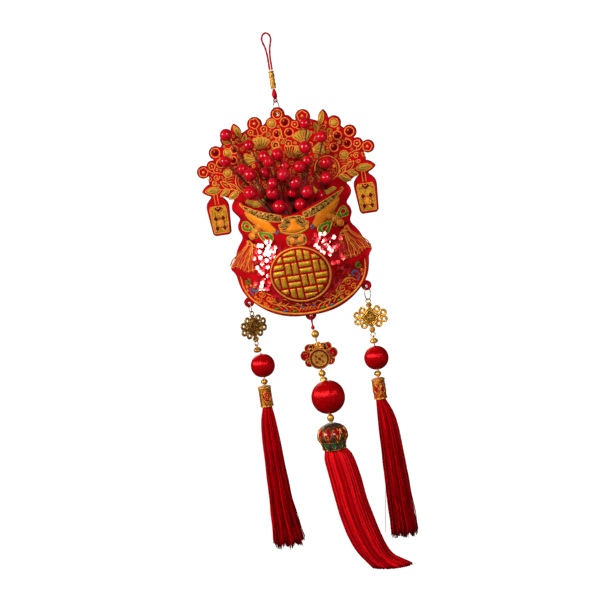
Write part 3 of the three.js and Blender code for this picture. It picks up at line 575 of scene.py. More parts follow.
def inside(places, outline):
    """Which places lie inside an outline."""
    u, v = places[:, 0:1], places[:, 1:2]
    first, second = outline, np.roll(outline, -1, axis=0)
    crosses = (first[None, :, 1] > v) != (second[None, :, 1] > v)
    rise = second[None, :, 1] - first[None, :, 1]
    rise = np.where(np.abs(rise) < 1e-12, 1e-12, rise)
    cut = first[None, :, 0] + (v - first[None, :, 1]) / rise * (second[None, :, 0] - first[None, :, 0])
    return np.sum(crosses & (u < cut), axis=1) % 2 == 1


def add_patch(heap, outline, height, place, finish, cell=2.2, edge=0.8):
    """A filled shape that stands height proud of a surface and follows it, with a rounded edge."""
    outline = resample(outline, edge, closed=True)
    low, high = outline.min(0), outline.max(0)
    across, up = np.meshgrid(np.arange(low[0], high[0], cell), np.arange(low[1], high[1], cell))
    inner = np.stack([across.ravel() + 0.01, up.ravel() + 0.01], -1)
    inner = inner[inside(inner, outline)]
    if len(inner):
        apart = np.linalg.norm(inner[:, None] - outline[None], axis=-1).min(1)
        inner = inner[apart > cell * 0.4]
    flat = np.concatenate([outline, inner])
    area = np.sum(outline[:, 0] * np.roll(outline[:, 1], -1) - outline[:, 1] * np.roll(outline[:, 0], -1))
    ring = list(range(len(outline)))
    points = [Vector(point) for point in flat.tolist()]
    made = delaunay_2d_cdt(points, [], [ring if area > 0 else ring[::-1]], 1, 1e-6)
    spots = np.array([tuple(point) for point in made[0]])
    rim = np.linalg.norm(spots[:, None] - outline[None], axis=-1).min(1) < 1e-4
    lift = np.where(rim, height * 0.7, height)
    count = len(spots)
    triangles = [list(triangle) for triangle in made[2]]
    used = {(t[k], t[(k + 1) % 3]) for t in triangles for k in range(3)}
    border = [(a, b) for a, b in used if (b, a) not in used]
    skirt = [[b, a, count + a, count + b] for a, b in border]
    low_points = place(spots, np.full(count, -0.12))
    heap.add(np.concatenate([place(spots, lift), low_points]), triangles + skirt, finish)


def both(line):
    """A line and its mirror image on the left."""
    return [np.asarray(line, float), np.asarray(line, float) * (-1, 1)]


def glitter_specks(finish, scale):
    """Small flakes, each with its own grey."""
    flakes = finish.node("ShaderNodeTexVoronoi", {}, {"Scale": scale, "Vector": finish.where()}, output=1)
    return finish.node("ShaderNodeRGBToBW", {}, {"Color": flakes})


def printing(name, line, shade, glint=0.2):
    """Raised ink with fine glitter in it: brighter specks on an even ground."""
    finish = Finish(name, {"Roughness": 0.45, "Metallic": glint, "Specular IOR Level": 0.12})
    specks = glitter_specks(finish, 2600)
    finish.shade(specks * 0.6 + finish.noise(2.5, 3) * 0.5, (0.25, shade), (0.75, line))
    finish.bump(specks, 0.07, 0.6)
    return finish


gold_line = printing("gold_line", colour(1.0, 0.44, 0.07), colour(0.62, 0.2, 0.02))
olive_gold = printing("olive_gold", colour(0.62, 0.36, 0.045), colour(0.3, 0.14, 0.01))
orange_ink = printing("orange_ink", colour(0.95, 0.3, 0.03), colour(0.8, 0.18, 0.012), 0.05)
green_ink = printing("green_ink", colour(0.05, 0.3, 0.02), colour(0.02, 0.14, 0.01), 0.1)
blue_ink = printing("blue_ink", colour(0.04, 0.22, 0.42), colour(0.01, 0.08, 0.2), 0.1)
dark_ink = printing("dark_ink", colour(0.17, 0.001, 0.003), colour(0.07, 0.0, 0.001), 0.0)
dark_ink.feed({"Specular IOR Level": 0.05})
inks = [gold_line, olive_gold, orange_ink, green_ink, blue_ink, dark_ink]
GOLD, OLIVE, ORANGE, GREEN, BLUE, DARK = range(6)
fine, bold, ink_rise, fill_rise = 0.62, 0.85, 0.45, 0.22

# Rings: a berry printed as a circle, some filled with gold. Each has a small glint or star inside.
backing_print = Heap()


def ink(line, width=fine, rise=ink_rise, closed=False, finish=GOLD):
    """A raised line printed on the backing."""
    add_line(backing_print, line, width, rise, on_backing, closed, finish)


def ink_patch(shape, rise, finish):
    """A raised fill printed on the backing."""
    add_patch(backing_print, shape, rise, on_backing, finish)


rings = [(0, 0, 4.1, 0), (-6.3, -7.1, 3.9, 1), (5.4, -7.8, 3.9, 0), (-2.9, -16.8, 3.7, 0)]
rings += [(7.7, -17.2, 3.7, 0), (-6.4, -25.8, 3.3, 0), (-43.2, -24.5, 3.5, 0)]
rings += [(44.8, -36.2, 3.7, 0), (-45.4, -33.4, 3.3, 0)]
for way in (1, -1):
    rings += [(way * 48, -15, 3.9, 1), (way * 60.2, -24.6, 4, 0), (way * 49.3, -26.3, 3.7, way < 0)]
    rings += [(way * 56.9, -34.6, 3.7, 0), (way * 52.3, -44, 3.7, 1)]
for u, v, radius, filled in rings:
    ink(circle(u, v, radius, 36), bold, closed=True)
    if filled:
        ink_patch(circle(u, v, radius - 0.7, 24), fill_rise, OLIVE)
        ink(smooth([(u - 1.6, v + 1), (u, v), (u + 1.4, v + 1.2)], 0.4), 0.5, 0.4)
    elif radius < 4.05:
        ink_patch(circle(u, v, radius * 0.6, 20), 0.2, DARK)
        glint_line = [(u - 0.6, v + 0.4), (u - 0.9, v + 1.5), (u - 0.2, v + 2.1)]
        ink(smooth(glint_line, 0.4), 0.8, 0.35)


# Plum flowers: five round petals in one line, a gold heart and, for the small ones, a stalk.
def flower_line(u, v, radius, start):
    angle = np.linspace(0, 2 * math.pi, 60, endpoint=False)
    reach = radius * (0.8 + 0.2 * np.abs(np.cos(2.5 * (angle - start))) ** 0.7)
    return np.stack([u + reach * np.cos(angle), v + reach * np.sin(angle)], -1)


flowers = [(21.5, -4.8, 4.5, 1.5), (73.8, -39.9, 4.2, 1.3), (13.9, -11, 2.9, 0.8), (26, -12, 2.4, 2.0)]
flowers += [(65.3, -35.8, 3, 1.0), (5.6, -26.6, 3.1, 0.6)]
for u, v, radius, start in flowers:
    for way in (1, -1):
        ink(flower_line(way * u, v, radius, start * way), 0.75, closed=True)
        ink_patch(circle(way * u, v, radius * 0.24 + 0.2, 10), 0.5, GOLD)
stalks = [
    [(20.5, -9.6), (19.6, -14), (19.8, -17)],
    [(14.5, -14), (16.8, -15.6), (19.6, -15.8)],
    [(25, -14.6), (22.6, -15.4), (19.8, -16)],
    [(69.5, -38.4), (66.2, -41.4), (61, -42.2), (56.5, -44)],
    [(64.8, -39), (63.5, -41.6)],
    [(0.5, -12.4), (1.2, -16), (1.4, -21), (2.8, -24.6)],
    [(-0.6, -20.4), (1.2, -21.6)],
    [(5.6, -21), (3, -22.4), (1.5, -21.4)],
    [(52.4, -30.2), (53.4, -33), (51.8, -36.6)],
    [(57.6, -29.4), (55.2, -30.6)],
]
for stalk in stalks:
    for line in both(stalk):
        ink(smooth(line, 0.6))

# Leaves: a gold outline, filled or left open, with a slit down the middle, on a sprig at the top and at
# each side.
sprigs = [
    ((35.2, -14.6), (40, -3.6), 2.3, 1),
    ((32.9, -19.2), (31.1, -12.4), 1.9, 1),
    ((34.4, -19.2), (40.6, -16.2), 1.9, 0),
    ((61, -57.6), (75.3, -57.4), 3.2, 1),
    ((53, -58.4), (62.3, -63.6), 2.3, 1),
    ((45.4, -61.4), (55.2, -67.2), 2.7, 1),
    ((51.2, -58.4), (60.2, -50.6), 2.3, 0),
    ((46.2, -60.6), (52.4, -53.2), 1.8, 0),
]
for root, tip, half, filled in sprigs:
    for shape in both(leaf_outline(root, tip, half)):
        ink(resample(shape, 0.6, closed=True), 0.75, closed=True)
        if filled:
            centre = shape.mean(0)
            ink_patch(centre + (shape - centre) * 0.86, fill_rise, OLIVE)
    slit = np.array(root) + np.outer(np.linspace(0.3, 0.78, 8), np.subtract(tip, root))
    for line in both(slit):
        ink(line, 0.55, 0.42, finish=DARK if filled else GOLD)
sprig_stems = [
    [(31.8, -21.6), (33.6, -18.4), (35.2, -14.6)],
    [(43.4, -62.6), (48, -59.8), (54, -58.2), (61, -57.6)],
]
for stem in sprig_stems:
    for line in both(stem):
        ink(smooth(line, 0.6), 0.75)


# Fans: ribs that spread from a hub, with scalloped ends. Those near the top are filled, and the low pair
# shows the red felt between its ribs.
def add_fan(hub, radius, start, end, ribs, filled, way):
    """Ribs that turn about a hub from start to end degrees."""
    angles = np.radians(np.linspace(start, end, ribs + 1))
    rim = []
    for first, second in zip(angles[:-1], angles[1:]):
        share = np.linspace(0, 1, 6)
        swell = 1 + 0.07 * np.sin(share * math.pi)
        for reach, at in zip(radius * swell, first + (second - first) * share):
            rim.append((hub[0] + reach * math.cos(at), hub[1] + reach * math.sin(at)))
    rim = np.array(rim) * (way, 1)
    ink(resample(rim, 0.6), 0.75)
    centre = np.array(hub) * (way, 1)
    if filled:
        inner_ends = [centre + (rim[-1] - centre) * 0.25, centre + (rim[0] - centre) * 0.25]
        ink_patch(np.concatenate([rim, inner_ends]), fill_rise, OLIVE)
    for angle in angles:
        direction = np.array([math.cos(angle) * way, math.sin(angle)])
        ink(centre + np.outer(np.linspace(0.24, 1, 14), direction * radius))
    for angle in (angles[:-1] + angles[1:]) / 2:
        reach = (math.cos(angle) * way * radius, math.sin(angle) * radius)
        ink(centre + np.outer(np.linspace(0.34, 0.93, 12), reach), 0.5, 0.42, finish=DARK)


for way in (1, -1):
    add_fan((19.6, -29.6), 12, 46, 142, 6, 1, way)
    add_fan((23, -36), 12.5, 148, 200, 3, 1, way * -1)
    add_fan((23, -36.5), 12.5, -20, 36, 3, 1, way)
    add_fan((4.6, -42), 13, 28, 104, 7, 0, way)


# Coins, ingots and scrolls fill the ground between: a ring with an inner ring and a four-petal heart, a
# boat-shaped ingot, and curls.
def spiral(u, v, radius, turns, start, way=1):
    angle = np.linspace(0, turns * 2 * math.pi, int(24 * turns) + 4)
    reach = radius * (1 - 0.8 * angle / angle[-1])
    return np.stack([u + reach * np.cos(start + way * angle), v + reach * np.sin(start + way * angle)], -1)


ingot_points = [(21, -66.8), (24, -70.6), (31, -72.4), (38.5, -70), (40.6, -73.2), (32, -77.8), (23, -74.6)]
for way in (1, -1):
    coin = (way * 35.8, -53.2)
    ink(circle(*coin, 10.8, 60), bold, closed=True)
    ink(circle(*coin, 8.6, 54), closed=True, finish=OLIVE)
    for k in range(4):
        turn = math.pi / 4 + k * math.pi / 2
        heart = (coin[0] + 5 * math.cos(turn), coin[1] + 5 * math.sin(turn))
        ink(spiral(*heart, 2.6, 1.3, turn, way), rise=0.4, finish=OLIVE)
    square = np.array([(2, 0), (0, 2), (-2, 0), (0, -2)], float) + coin
    ink(resample(square, 0.5, closed=True), closed=True)
    ingot = smooth(ingot_points, 0.8, closed=True) * (way, 1)
    ink_patch(ingot, 0.3, OLIVE)
    ink(ingot, closed=True)
    ink(spiral(way * 63, -46.2, 2.9, 1.5, 0.4, way), 0.75)
    ink(spiral(way * 69, -46.6, 2.3, 1.3, 2.6, -way))
    ink(spiral(way * 56.5, -49.4, 2.1, 1.2, 1.2, way))
    ink(spiral(way * 14.5, -42.5, 3, 1.6, 0.6, way))
    ink(spiral(way * 10.5, -57, 3.2, 1.6, 2.2, -way))
    ink(spiral(way * 20.5, -60.5, 2.8, 1.5, 1.1, way), finish=OLIVE)
    for k in range(4):
        bar = [(way * (46.5 + 1.2 * k), -46.5 - 2.6 * k), (way * (52 + 1.8 * k), -47.5 - 2 * k)]
        ink(resample(bar, 0.6), rise=0.4, finish=OLIVE)
suns = [(0, -51, 3.4), (9, -64, 3), (0, -66.5, 3.2), (17, -69, 3), (28.5, -62, 2.6), (14, -50, 2.4)]
for u, v, radius in suns:
    for way in (1, -1)[: 1 if u == 0 else 2]:
        ink(circle(way * u, v, radius, 30), closed=True, finish=OLIVE)
        ink(spiral(way * u, v, radius * 0.6, 1.2, u, way), rise=0.4)
        for turn in (0.6, 1.2, 1.9, 2.5):
            reach = np.linspace(radius + 0.9, radius + 3.4, 5)[:, None]
            ray = np.array([(math.cos(turn), math.sin(turn))]) * reach
            ink(ray + (way * u, v), rise=0.4, finish=OLIVE)


# The ground that is left is filled with small curls and rings, as large as the room between the lines allows.
def nearest(points, places):
    """How far each place is from the nearest of some points."""
    tree = kdtree.KDTree(len(points))
    for k, (u, v) in enumerate(points.tolist()):
        tree.insert((u, v, 0), k)
    tree.balance()
    return np.array([tree.find((u, v, 0))[2] for u, v in places.tolist()])


def add_curls(heap, outline, lowest, smallest, largest, place, finishes, clear=0.75, margin=1.9):
    """Curls, some of them ringed, wherever a print still leaves room for them, the largest first."""
    points = np.concatenate(heap.points) - (0, 0, eyelet_z)
    turn_cos, turn_sin = math.cos(plaque_turn), math.sin(plaque_turn)
    across = points[:, 0] * turn_cos + points[:, 2] * turn_sin
    up = points[:, 2] * turn_cos - points[:, 0] * turn_sin
    printed = np.unique(np.round(np.stack([across, up], -1) * 2), axis=0) / 2
    low, high, pitch = outline.min(0), outline.max(0), 1.1
    grid = np.meshgrid(np.arange(low[0], high[0], pitch), np.arange(max(low[1], lowest), high[1], pitch))
    places = np.stack([side.ravel() for side in grid], -1)
    places = places[inside(places, outline)]
    room = np.minimum(nearest(printed, places) - clear, nearest(outline, places) - margin)
    count = 0
    while room.max() > smallest:
        best = int(room.argmax())
        radius, (u, v) = min(largest, float(room[best])), places[best]
        finish = finishes[count % len(finishes)]
        curl = spiral(u, v, radius, 1.3, 2.4 * count, 1 - 2 * (count % 2))
        add_line(heap, curl, fine, 0.4, place, finish=finish)
        if count % 3 == 0:
            add_line(heap, circle(u, v, radius, 18), fine, 0.4, place, closed=True, finish=finish)
        room = np.minimum(room, np.linalg.norm(places - places[best], axis=1) - radius - clear)
        count += 1


add_curls(backing_print, backing_line, -60, 0.9, 2.3, on_backing, (GOLD, OLIVE))
make("backing_print", backing_print, inks)


# The tags hang from printed strings: a gold panel inside the felt margin, with a ring and a small diamond
# at its head, and below them a plain lattice of diamonds round a square coin.
def filigree(name, ground, line, size, weight=1.0):
    """Gold ground with fine dark curling lines in it."""
    finish = Finish(name, {"Roughness": 0.4, "Metallic": 0.3, "Specular IOR Level": 0.12})
    curl = abs(finish.noise(size, 1) - 0.5)
    second = abs(finish.noise(size * 0.6, 1) - 0.47)
    mask = (curl < 0.05 * weight) * 1.0 + (second < 0.035 * weight) * 0.8
    shade = finish.blend(finish.noise(1.2, 2), ground, [part * 0.55 for part in ground[:3]] + [1])
    finish.feed({"Base Color": finish.blend(mask, shade, line)})
    finish.bump(mask * -1 + finish.noise(0.3, 1) * 0.5, 0.12, 0.7)
    return finish


tag_gold = filigree("tag_gold", colour(0.88, 0.46, 0.035), colour(0.3, 0.06, 0.006), 3, 0.5)
tag_print = Heap()
half_panel = [(6.6, -71.6), (7.6, -74.5), (7.1, -88), (6.5, -95.6)]
for way in (1, -1):
    panel = np.array(half_panel + [(-u, v) for u, v in reversed(half_panel)])
    panel = (panel + (tag_u, 0)) * (way, 1)
    add_patch(tag_print, panel, 0.3, on_backing, 6)
    add_line(tag_print, resample(panel, 0.6, closed=True), 0.7, 0.5, on_backing, closed=True)
    centre = way * tag_u
    for x in (-1.5, 1.5):
        string = resample([(centre + x, -60.6), (centre + x, -70.4)], 0.8)
        add_line(tag_print, string, 0.7, ink_rise, on_backing)
    lozenge = [(centre + 3.6, -73.6), (centre, -70.4), (centre - 3.6, -73.6), (centre, -76.8)]
    add_patch(tag_print, lozenge, 0.45, on_backing, DARK)
    add_line(tag_print, circle(centre, -72.6, 1.3, 20), 0.7, 0.75, on_backing, closed=True, finish=ORANGE)
    for row in range(3):
        for column in (-1, 1) if row % 2 == 0 else (0,):
            spot = np.array((centre + column * 3.4, -82.4 - row * 4.4))
            lozenge = np.array([(2.3, 0), (0, 2.9), (-2.3, 0), (0, -2.9)]) + spot
            add_patch(tag_print, lozenge, 0.5, on_backing, DARK if column else ORANGE)
            add_line(tag_print, resample(lozenge, 0.5, closed=True), 0.5, 0.6, on_backing, closed=True)
    add_line(tag_print, circle(centre, -86.8, 3.9, 30), 0.6, 0.65, on_backing, closed=True, finish=DARK)
make("tag_print", tag_print, inks + [tag_gold])

# The pocket is a second sheet of the same felt, sewn on down its sides and along the bottom. Its mouth has
# been pushed forward by the bunch of berries, so it bellies out like a full purse.
columns, rows = 120, 110
s_line, t_line = np.linspace(-1, 1, columns + 1), np.linspace(0, 1, rows + 1)
s_grid, t_grid = np.meshgrid(s_line, t_line)
plan_u, plan_v, plan_fall = bag_plan(s_grid, t_grid)
middle_face = np.stack([plan_u, -bag_depth(s_grid, plan_fall), plan_v], -1)
down, across = np.gradient(middle_face, axis=0), np.gradient(middle_face, axis=1)
face_out = np.cross(across, down)
face_out /= np.maximum(np.linalg.norm(face_out, axis=-1), 1e-9)[..., None]
face_out *= -np.sign(face_out[..., 1:2])
front = middle_face + face_out * pocket_felt / 2
back = middle_face - face_out * pocket_felt / 2
pocket = Heap()
pocket.add_grid(on_row(front), 0, around=False)
pocket.add_grid(on_row(back), 0, around=False)
border = [(0, j) for j in range(columns + 1)] + [(i, columns) for i in range(1, rows + 1)]
border += [(rows, j) for j in range(columns - 1, -1, -1)] + [(i, 0) for i in range(rows - 1, 0, -1)]
border_at = tuple(np.array(border).T)
edge_middle, edge_out = middle_face[border_at], face_out[border_at]
along_edge = np.roll(edge_middle, -1, axis=0) - np.roll(edge_middle, 1, axis=0)
outward = np.cross(along_edge, edge_out)
outward /= np.maximum(np.linalg.norm(outward, axis=-1), 1e-9)[:, None]
outward *= np.sign(np.sum(outward * (edge_middle - edge_middle.mean(0)), -1))[:, None]
edge_rows = [
    edge_middle + edge_out * pocket_felt / 2 * math.sin(turn) + outward * 0.35 * math.cos(turn)
    for turn in np.linspace(-math.pi / 2, math.pi / 2, 7)
]
pocket.add_grid(on_row(np.stack(edge_rows)), 1, capped=False)
pocket_front = make("pocket_front_sheet", pocket, [red_felt, felt_edge], ["pocket_front"], 60)
weld = bmesh.new()
weld.from_mesh(pocket_front.data)
bmesh.ops.remove_doubles(weld, verts=weld.verts, dist=2e-5)
bmesh.ops.recalc_face_normals(weld, faces=weld.faces)
pocket_area = sum(face.calc_area() for face in weld.faces) / 2
weld.to_mesh(pocket_front.data)
weld.free()

# Where the pocket's face stands, looked up from a fine grid so that print and pad can follow it.
map_step = 0.75
map_u, map_v = np.arange(-70, 70.1, map_step), np.arange(-190, -60, map_step)
find_u, find_v = np.meshgrid(map_u, map_v, indexing="ij")
high, low = np.zeros_like(find_u), np.ones_like(find_u)
for _ in range(26):
    guess = (high + low) / 2
    above = bag_plan(find_u / bag_side(guess)[0], guess)[1] > find_v
    high, low = np.where(above, guess, high), np.where(above, low, guess)
found = (high + low) / 2
found_s = find_u / bag_side(found)[0]
depth_map = bag_depth(found_s, bag_plan(found_s, found)[2])


def bag_at(places):
    """How far forward the pocket's middle stands at places across and up the plaque."""
    u = np.clip((places[:, 0] - map_u[0]) / map_step, 0, len(map_u) - 1.001)
    v = np.clip((places[:, 1] - map_v[0]) / map_step, 0, len(map_v) - 1.001)
    i, j = u.astype(int), v.astype(int)
    a, b = u - i, v - j
    near = depth_map[i, j] * (1 - a) + depth_map[i + 1, j] * a
    far = depth_map[i, j + 1] * (1 - a) + depth_map[i + 1, j + 1] * a
    return near * (1 - b) + far * b


def on_bag(places, lift):
    """Points that stand lift in front of the pocket's face, out along its own slope."""
    step = 0.5
    slope_u = (bag_at(places + (step, 0)) - bag_at(places - (step, 0))) / (2 * step)
    slope_v = (bag_at(places + (0, step)) - bag_at(places - (0, step))) / (2 * step)
    out = np.stack([-slope_u, -np.ones(len(places)), -slope_v], -1)
    out /= np.linalg.norm(out, axis=1)[:, None]
    middle = np.stack([places[:, 0], -bag_at(places), places[:, 1]], -1)
    return on_row(middle + out * (pocket_felt / 2 + lift)[:, None])


# The print on the pocket: a gold collar with two wings, a vase between them, a bow and a pair of tassels
# at each side, and along the bottom a gold border with scrolls, clouds and waves above it.
collar_gold = filigree("collar_gold", colour(0.8, 0.42, 0.08), colour(0.05, 0.008, 0.003), 2.6)
amber_ink = printing("amber_ink", colour(1.0, 0.3, 0.012), colour(0.92, 0.2, 0.006), 0.05)
scarlet_ink = printing("scarlet_ink", colour(0.5, 0.008, 0.008), colour(0.3, 0.0, 0.003), 0.0)
rust_ink = printing("rust_ink", colour(0.62, 0.12, 0.012), colour(0.4, 0.05, 0.006), 0.1)
pocket_inks = inks + [collar_gold, amber_ink, scarlet_ink, rust_ink]
COLLAR, AMBER, SCARLET, RUST = 6, 7, 8, 9
pocket_print = Heap()


def printed_at(places, lift):
    """The printing sits a little to the right of the pocket's middle, most of all near it."""
    u = places[:, 0]
    return on_bag(np.stack([u + 2.6 * (1 - (u / 60) ** 2) * (1 - u / 32), places[:, 1]], -1), lift)


def stamp(line, width, rise, place=printed_at, closed=False, finish=GOLD):
    """A raised line printed on the pocket."""
    add_line(pocket_print, line, width, rise, place, closed, finish)


def stamp_patch(shape, rise, finish, place=printed_at):
    """A raised fill printed on the pocket."""
    add_patch(pocket_print, shape, rise, place, finish)


def add_filled(shape, finish, line_finish=GOLD, width=0.7):
    """A filled shape and its outline, on both halves of the pocket."""
    for outline in both(smooth(shape, 0.8, closed=True)):
        stamp_patch(outline, 0.35, finish)
        stamp(outline, width, 0.57, closed=True, finish=line_finish)


def mouth_edge(u):
    return -86 + 18 * (np.abs(u) / 50) ** 1.25


wing_u = np.array([46.4, 45, 41, 35, 28, 20, 13, 10.6])
wing_width = np.array([0.6, 1.6, 3.2, 5.2, 6.4, 6.8, 5.6, 4.2])
wing_top = np.stack([wing_u, mouth_edge(wing_u) - np.interp(wing_u, [20, 45], [2.3, 3.6])], -1)
wing = wing_top.tolist() + (wing_top - np.stack([wing_width * 0, wing_width], -1))[::-1].tolist()
flag = [(42.4, -79.2), (35, -83), (28, -86.8), (22, -89.8), (20.2, -93), (17.4, -97), (19.6, -99.6)]
flag += [(24.4, -98.4), (30, -93.8), (35, -89.8), (40, -84.6)]
add_filled(wing, COLLAR)
add_filled(flag, AMBER, OLIVE, 0.6)
wing_hook = [(45.6, -75), (46.9, -73.2), (45.8, -71.6), (44.4, -72.4)]
for line in both(smooth(wing_hook, 0.5)):
    stamp(line, 0.75, 0.6)
saddle = [(0, -87.6), (6, -87.8), (10.6, -89.8), (11, -92.6), (14.2, -93.8), (12.6, -97.6)]
saddle += [(7.4, -98.6), (4.6, -95), (0, -94.4)]
saddle += [(-u, v) for u, v in reversed(saddle[1:-1])]
saddle_line = smooth(saddle, 0.8, closed=True)
stamp_patch(saddle_line, 0.35, COLLAR)
stamp(saddle_line, 0.7, 0.57, closed=True)
vase = [(0, -89.6), (2.6, -89.8), (2.8, -92.6), (4, -95.4), (7.8, -98.4), (8, -99.8), (0, -101)]
vase = smooth(vase + [(-u, v) for u, v in reversed(vase[1:-1])], 0.7, closed=True)
stamp_patch(vase, 0.62, AMBER)
stamp(vase, 0.6, 0.85, closed=True, finish=OLIVE)
sash_half = [(8, -101.6), (12.6, -99.4), (13.4, -96.8)]
sash = smooth([(-u, v) for u, v in reversed(sash_half)] + [(0, -103)] + sash_half, 0.8)
stamp(sash, 2.2, 0.8, finish=OLIVE)
stamp(sash + (0, 0.5), 0.8, 1.0, finish=ORANGE)
for way in (1, -1):
    stamp(spiral(way * 12.2, -97.6, 1.7, 1.1, 0, -way), 1.1, 0.8, finish=ORANGE)
    stamp(spiral(way * 17, -99.4, 1.8, 0.9, 1.2, way), 1.4, 0.6, finish=BLUE)
    tail = smooth([(way * 18.6, -99.6), (way * 21.6, -99.2), (way * 24.6, -100)], 0.7)
    stamp(tail, 1.2, 0.5, finish=OLIVE)
angle = np.linspace(0, 2 * math.pi, 48, endpoint=False)
spoke = np.stack([np.cos(angle), np.sin(angle)], -1)
buckle = np.sign(spoke) * np.abs(spoke) ** 0.55 * (9, 4.7) + (0, -108.8)
stamp_patch(buckle, 0.4, COLLAR)
stamp(buckle, 0.9, 0.7, closed=True)
for way in (1, -1):
    stamp_patch(circle(way * 3.9, -108.8, 2.9, 24), 0.55, ORANGE)
    stamp(circle(way * 3.9, -108.8, 1.4, 18), 0.6, 0.8, closed=True)


# A bow stands at each side of the collar: two green loops with red hearts round an orange knot.
def petal(root, tip, half, spacing=0.7):
    """A loop of ribbon: round at its tip and narrow where it meets the knot."""
    root, tip = np.array(root, float), np.array(tip, float)
    along, angle = tip - root, np.linspace(0, 2 * math.pi, 40, endpoint=False)
    side = np.array([-along[1], along[0]]) / np.linalg.norm(along)
    share = 0.5 - 0.5 * np.cos(angle)
    spread = np.sin(angle) * half * (0.35 + 0.75 * share)
    return resample(root + share[:, None] * along + spread[:, None] * side, spacing, closed=True)


for root, tip in (((38, -96), (47.8, -90.2)), ((33.6, -98.4), (21.6, -105.8))):
    for line in both(petal(root, tip, 6.0)):
        stamp_patch(line, 0.4, GREEN)
        stamp(line, 0.8, 0.65, closed=True)
    middle = np.add(root, np.subtract(tip, root) * 0.3)
    end = np.add(root, np.subtract(tip, root) * 0.76)
    for line in both(petal(middle, end, 2.3)):
        stamp_patch(line, 0.62, SCARLET)
        stamp(line, 0.6, 0.8, closed=True)
for way in (1, -1):
    for du, dv, radius, finish in (
        (-3.8, 3.6, 2.7, ORANGE),
        (3.6, -4.2, 2.7, ORANGE),
        (0.4, 4.7, 1.1, DARK),
        (4.5, 0.2, 1.2, DARK),
        (-0.4, -5, 1.2, DARK),
        (-5.2, -0.6, 1.1, DARK),
        (0, 0, 2.3, OLIVE),
    ):
        blob = circle(way * (36.3 + du), -96.8 + dv, radius, 20)
        stamp_patch(blob, 0.8, finish)
        stamp(blob, 0.5, 0.9, closed=True, finish=GOLD if finish != DARK else OLIVE)
    for k in range(4):
        spot = (way * (36.3 + 1.1 * math.cos(k * 1.571 + 0.6)), -96.8 + 1.1 * math.sin(k * 1.571 + 0.6))
        stamp_patch(circle(*spot, 0.8, 10), 1.05, GOLD)
    for u, v in ((43.8, -103), (39.9, -106.2)):
        stamp_patch(circle(way * u, v, 1.3, 14), 0.9, DARK)

# Under each bow two drawstring tassels are printed as sheaves of gold lines tied with bands.
sheaves = [((44.8, -104), (64, -126), (52.6, -132.4), 8), ((40.8, -107), (51.4, -133.6), (36.4, -134.6), 8)]
skirts = [
    [(46.4, -105.4), (49.6, -110.6), (56, -118), (61.6, -124.6), (62, -127.6)]
    + [(57, -130), (52, -131.6), (47, -122), (42.8, -112)],
    [(42.6, -108.4), (44.8, -116), (49.4, -126), (50.6, -132.6)]
    + [(44, -134.4), (37.6, -133.8), (38.6, -124), (38.6, -113)],
]
for skirt in skirts:
    for line in both(smooth(skirt, 0.9, closed=True)):
        stamp_patch(line, 0.2, SCARLET)
for top, outer, inner, count in sheaves:
    top = np.array(top)
    for k in range(count):
        share = k / (count - 1)
        foot = np.array(outer) * (1 - share) + np.array(inner) * share
        neck = top + ((1.6, -6.2) if k < count / 2 else (-1.2, -6.4)) + np.array((1.5 - 3.4 * share, 0))
        bend = (neck * 0.45 + foot * 0.55) + np.array((1.6 * (0.5 - share), 1.2))
        thread = smooth([top + (0.9 - 1.8 * share, -1), neck, bend, foot], 0.8)
        thread[:, 0] += 0.45 * np.sin(np.arange(len(thread)) * 0.5 + 2 * k) * np.linspace(0, 1, len(thread))
        for line in both(thread):
            stamp(line, 0.62 if k % 2 else 1.0, 0.55, finish=GOLD if k % 2 else RUST)
    for drop in (2.4, 5.2):
        band = [top + (2.6, -drop - 0.2), top + (0.2, -drop - 0.9), top + (-2.2, -drop - 0.4)]
        for line in both(smooth(band, 0.6)):
            stamp(line, 0.9, 0.75)
for lobe in ((58, -126.6), (45, -131)):
    for line in both(smooth([np.add(lobe, (5.4, -1.6)), lobe, np.add(lobe, (-6, -0.4))], 0.7)):
        stamp(line, 0.6, 0.45)

# The border follows the bag's lower edge. Above it run green and blue scrolls, orange clouds and waves.
rim_half = [(55.8, -136.2), (55.2, -146), (50.6, -156), (41, -165.2), (26, -172.8), (12, -176.4)]
rim = smooth(rim_half + [(0, -177.4)] + [(-u, v) for u, v in reversed(rim_half)], 0.8)
stamp(rim, 1.7, 0.75, on_bag)
cloud = [(45.6, -154.6), (42.4, -151.6), (37.6, -150.2), (33.6, -153.8), (29, -157), (27, -161.4)]
for way in (1, -1):
    stamp(spiral(way * 49.8, -141.6, 3.1, 1.1, 1.2, way), 1.5, 0.55, on_bag, finish=GREEN)
    stamp(spiral(way * 44.6, -148.6, 3.6, 0.75, 0.2, way), 1.9, 0.55, on_bag, finish=BLUE)
    sweep = smooth([(way * 48.4, -147.6), (way * 49, -151.4), (way * 46.4, -155.4)], 0.8)
    stamp(sweep, 1.2, 0.5, on_bag, finish=BLUE)
    for u, v, radius, turns in ((38.6, -154.2, 3.4, 1.5), (33, -159.4, 3.2, 1.5), (42.8, -159.4, 2.9, 1.4)):
        stamp(spiral(way * u, v, radius, turns, 0.6, way), 0.9, 0.55, on_bag, finish=ORANGE)
    stamp(smooth(cloud, 0.7) * (way, 1), 0.8, 0.5, on_bag)
    for k in range(4):
        wave = [(8 + 5 * k, -175.2 + 1.5 * k), (11 + 5 * k, -170.4 + 1.3 * k), (17 + 5 * k, -168 + 1.5 * k)]
        stamp(smooth(wave, 0.7) * (way, 1), 0.8, 0.5, on_bag, finish=(GOLD, ORANGE)[k % 2])
    for u, v, finish in ((12.6, -174, GREEN), (28, -169.6, GREEN), (21, -172.6, BLUE), (4.4, -170.4, BLUE)):
        dot = (circle(way * u, v, 1, 20) - (way * u, v)) * (2.1, 1.2) + (way * u, v)
        stamp_patch(dot, 0.5, finish, on_bag)
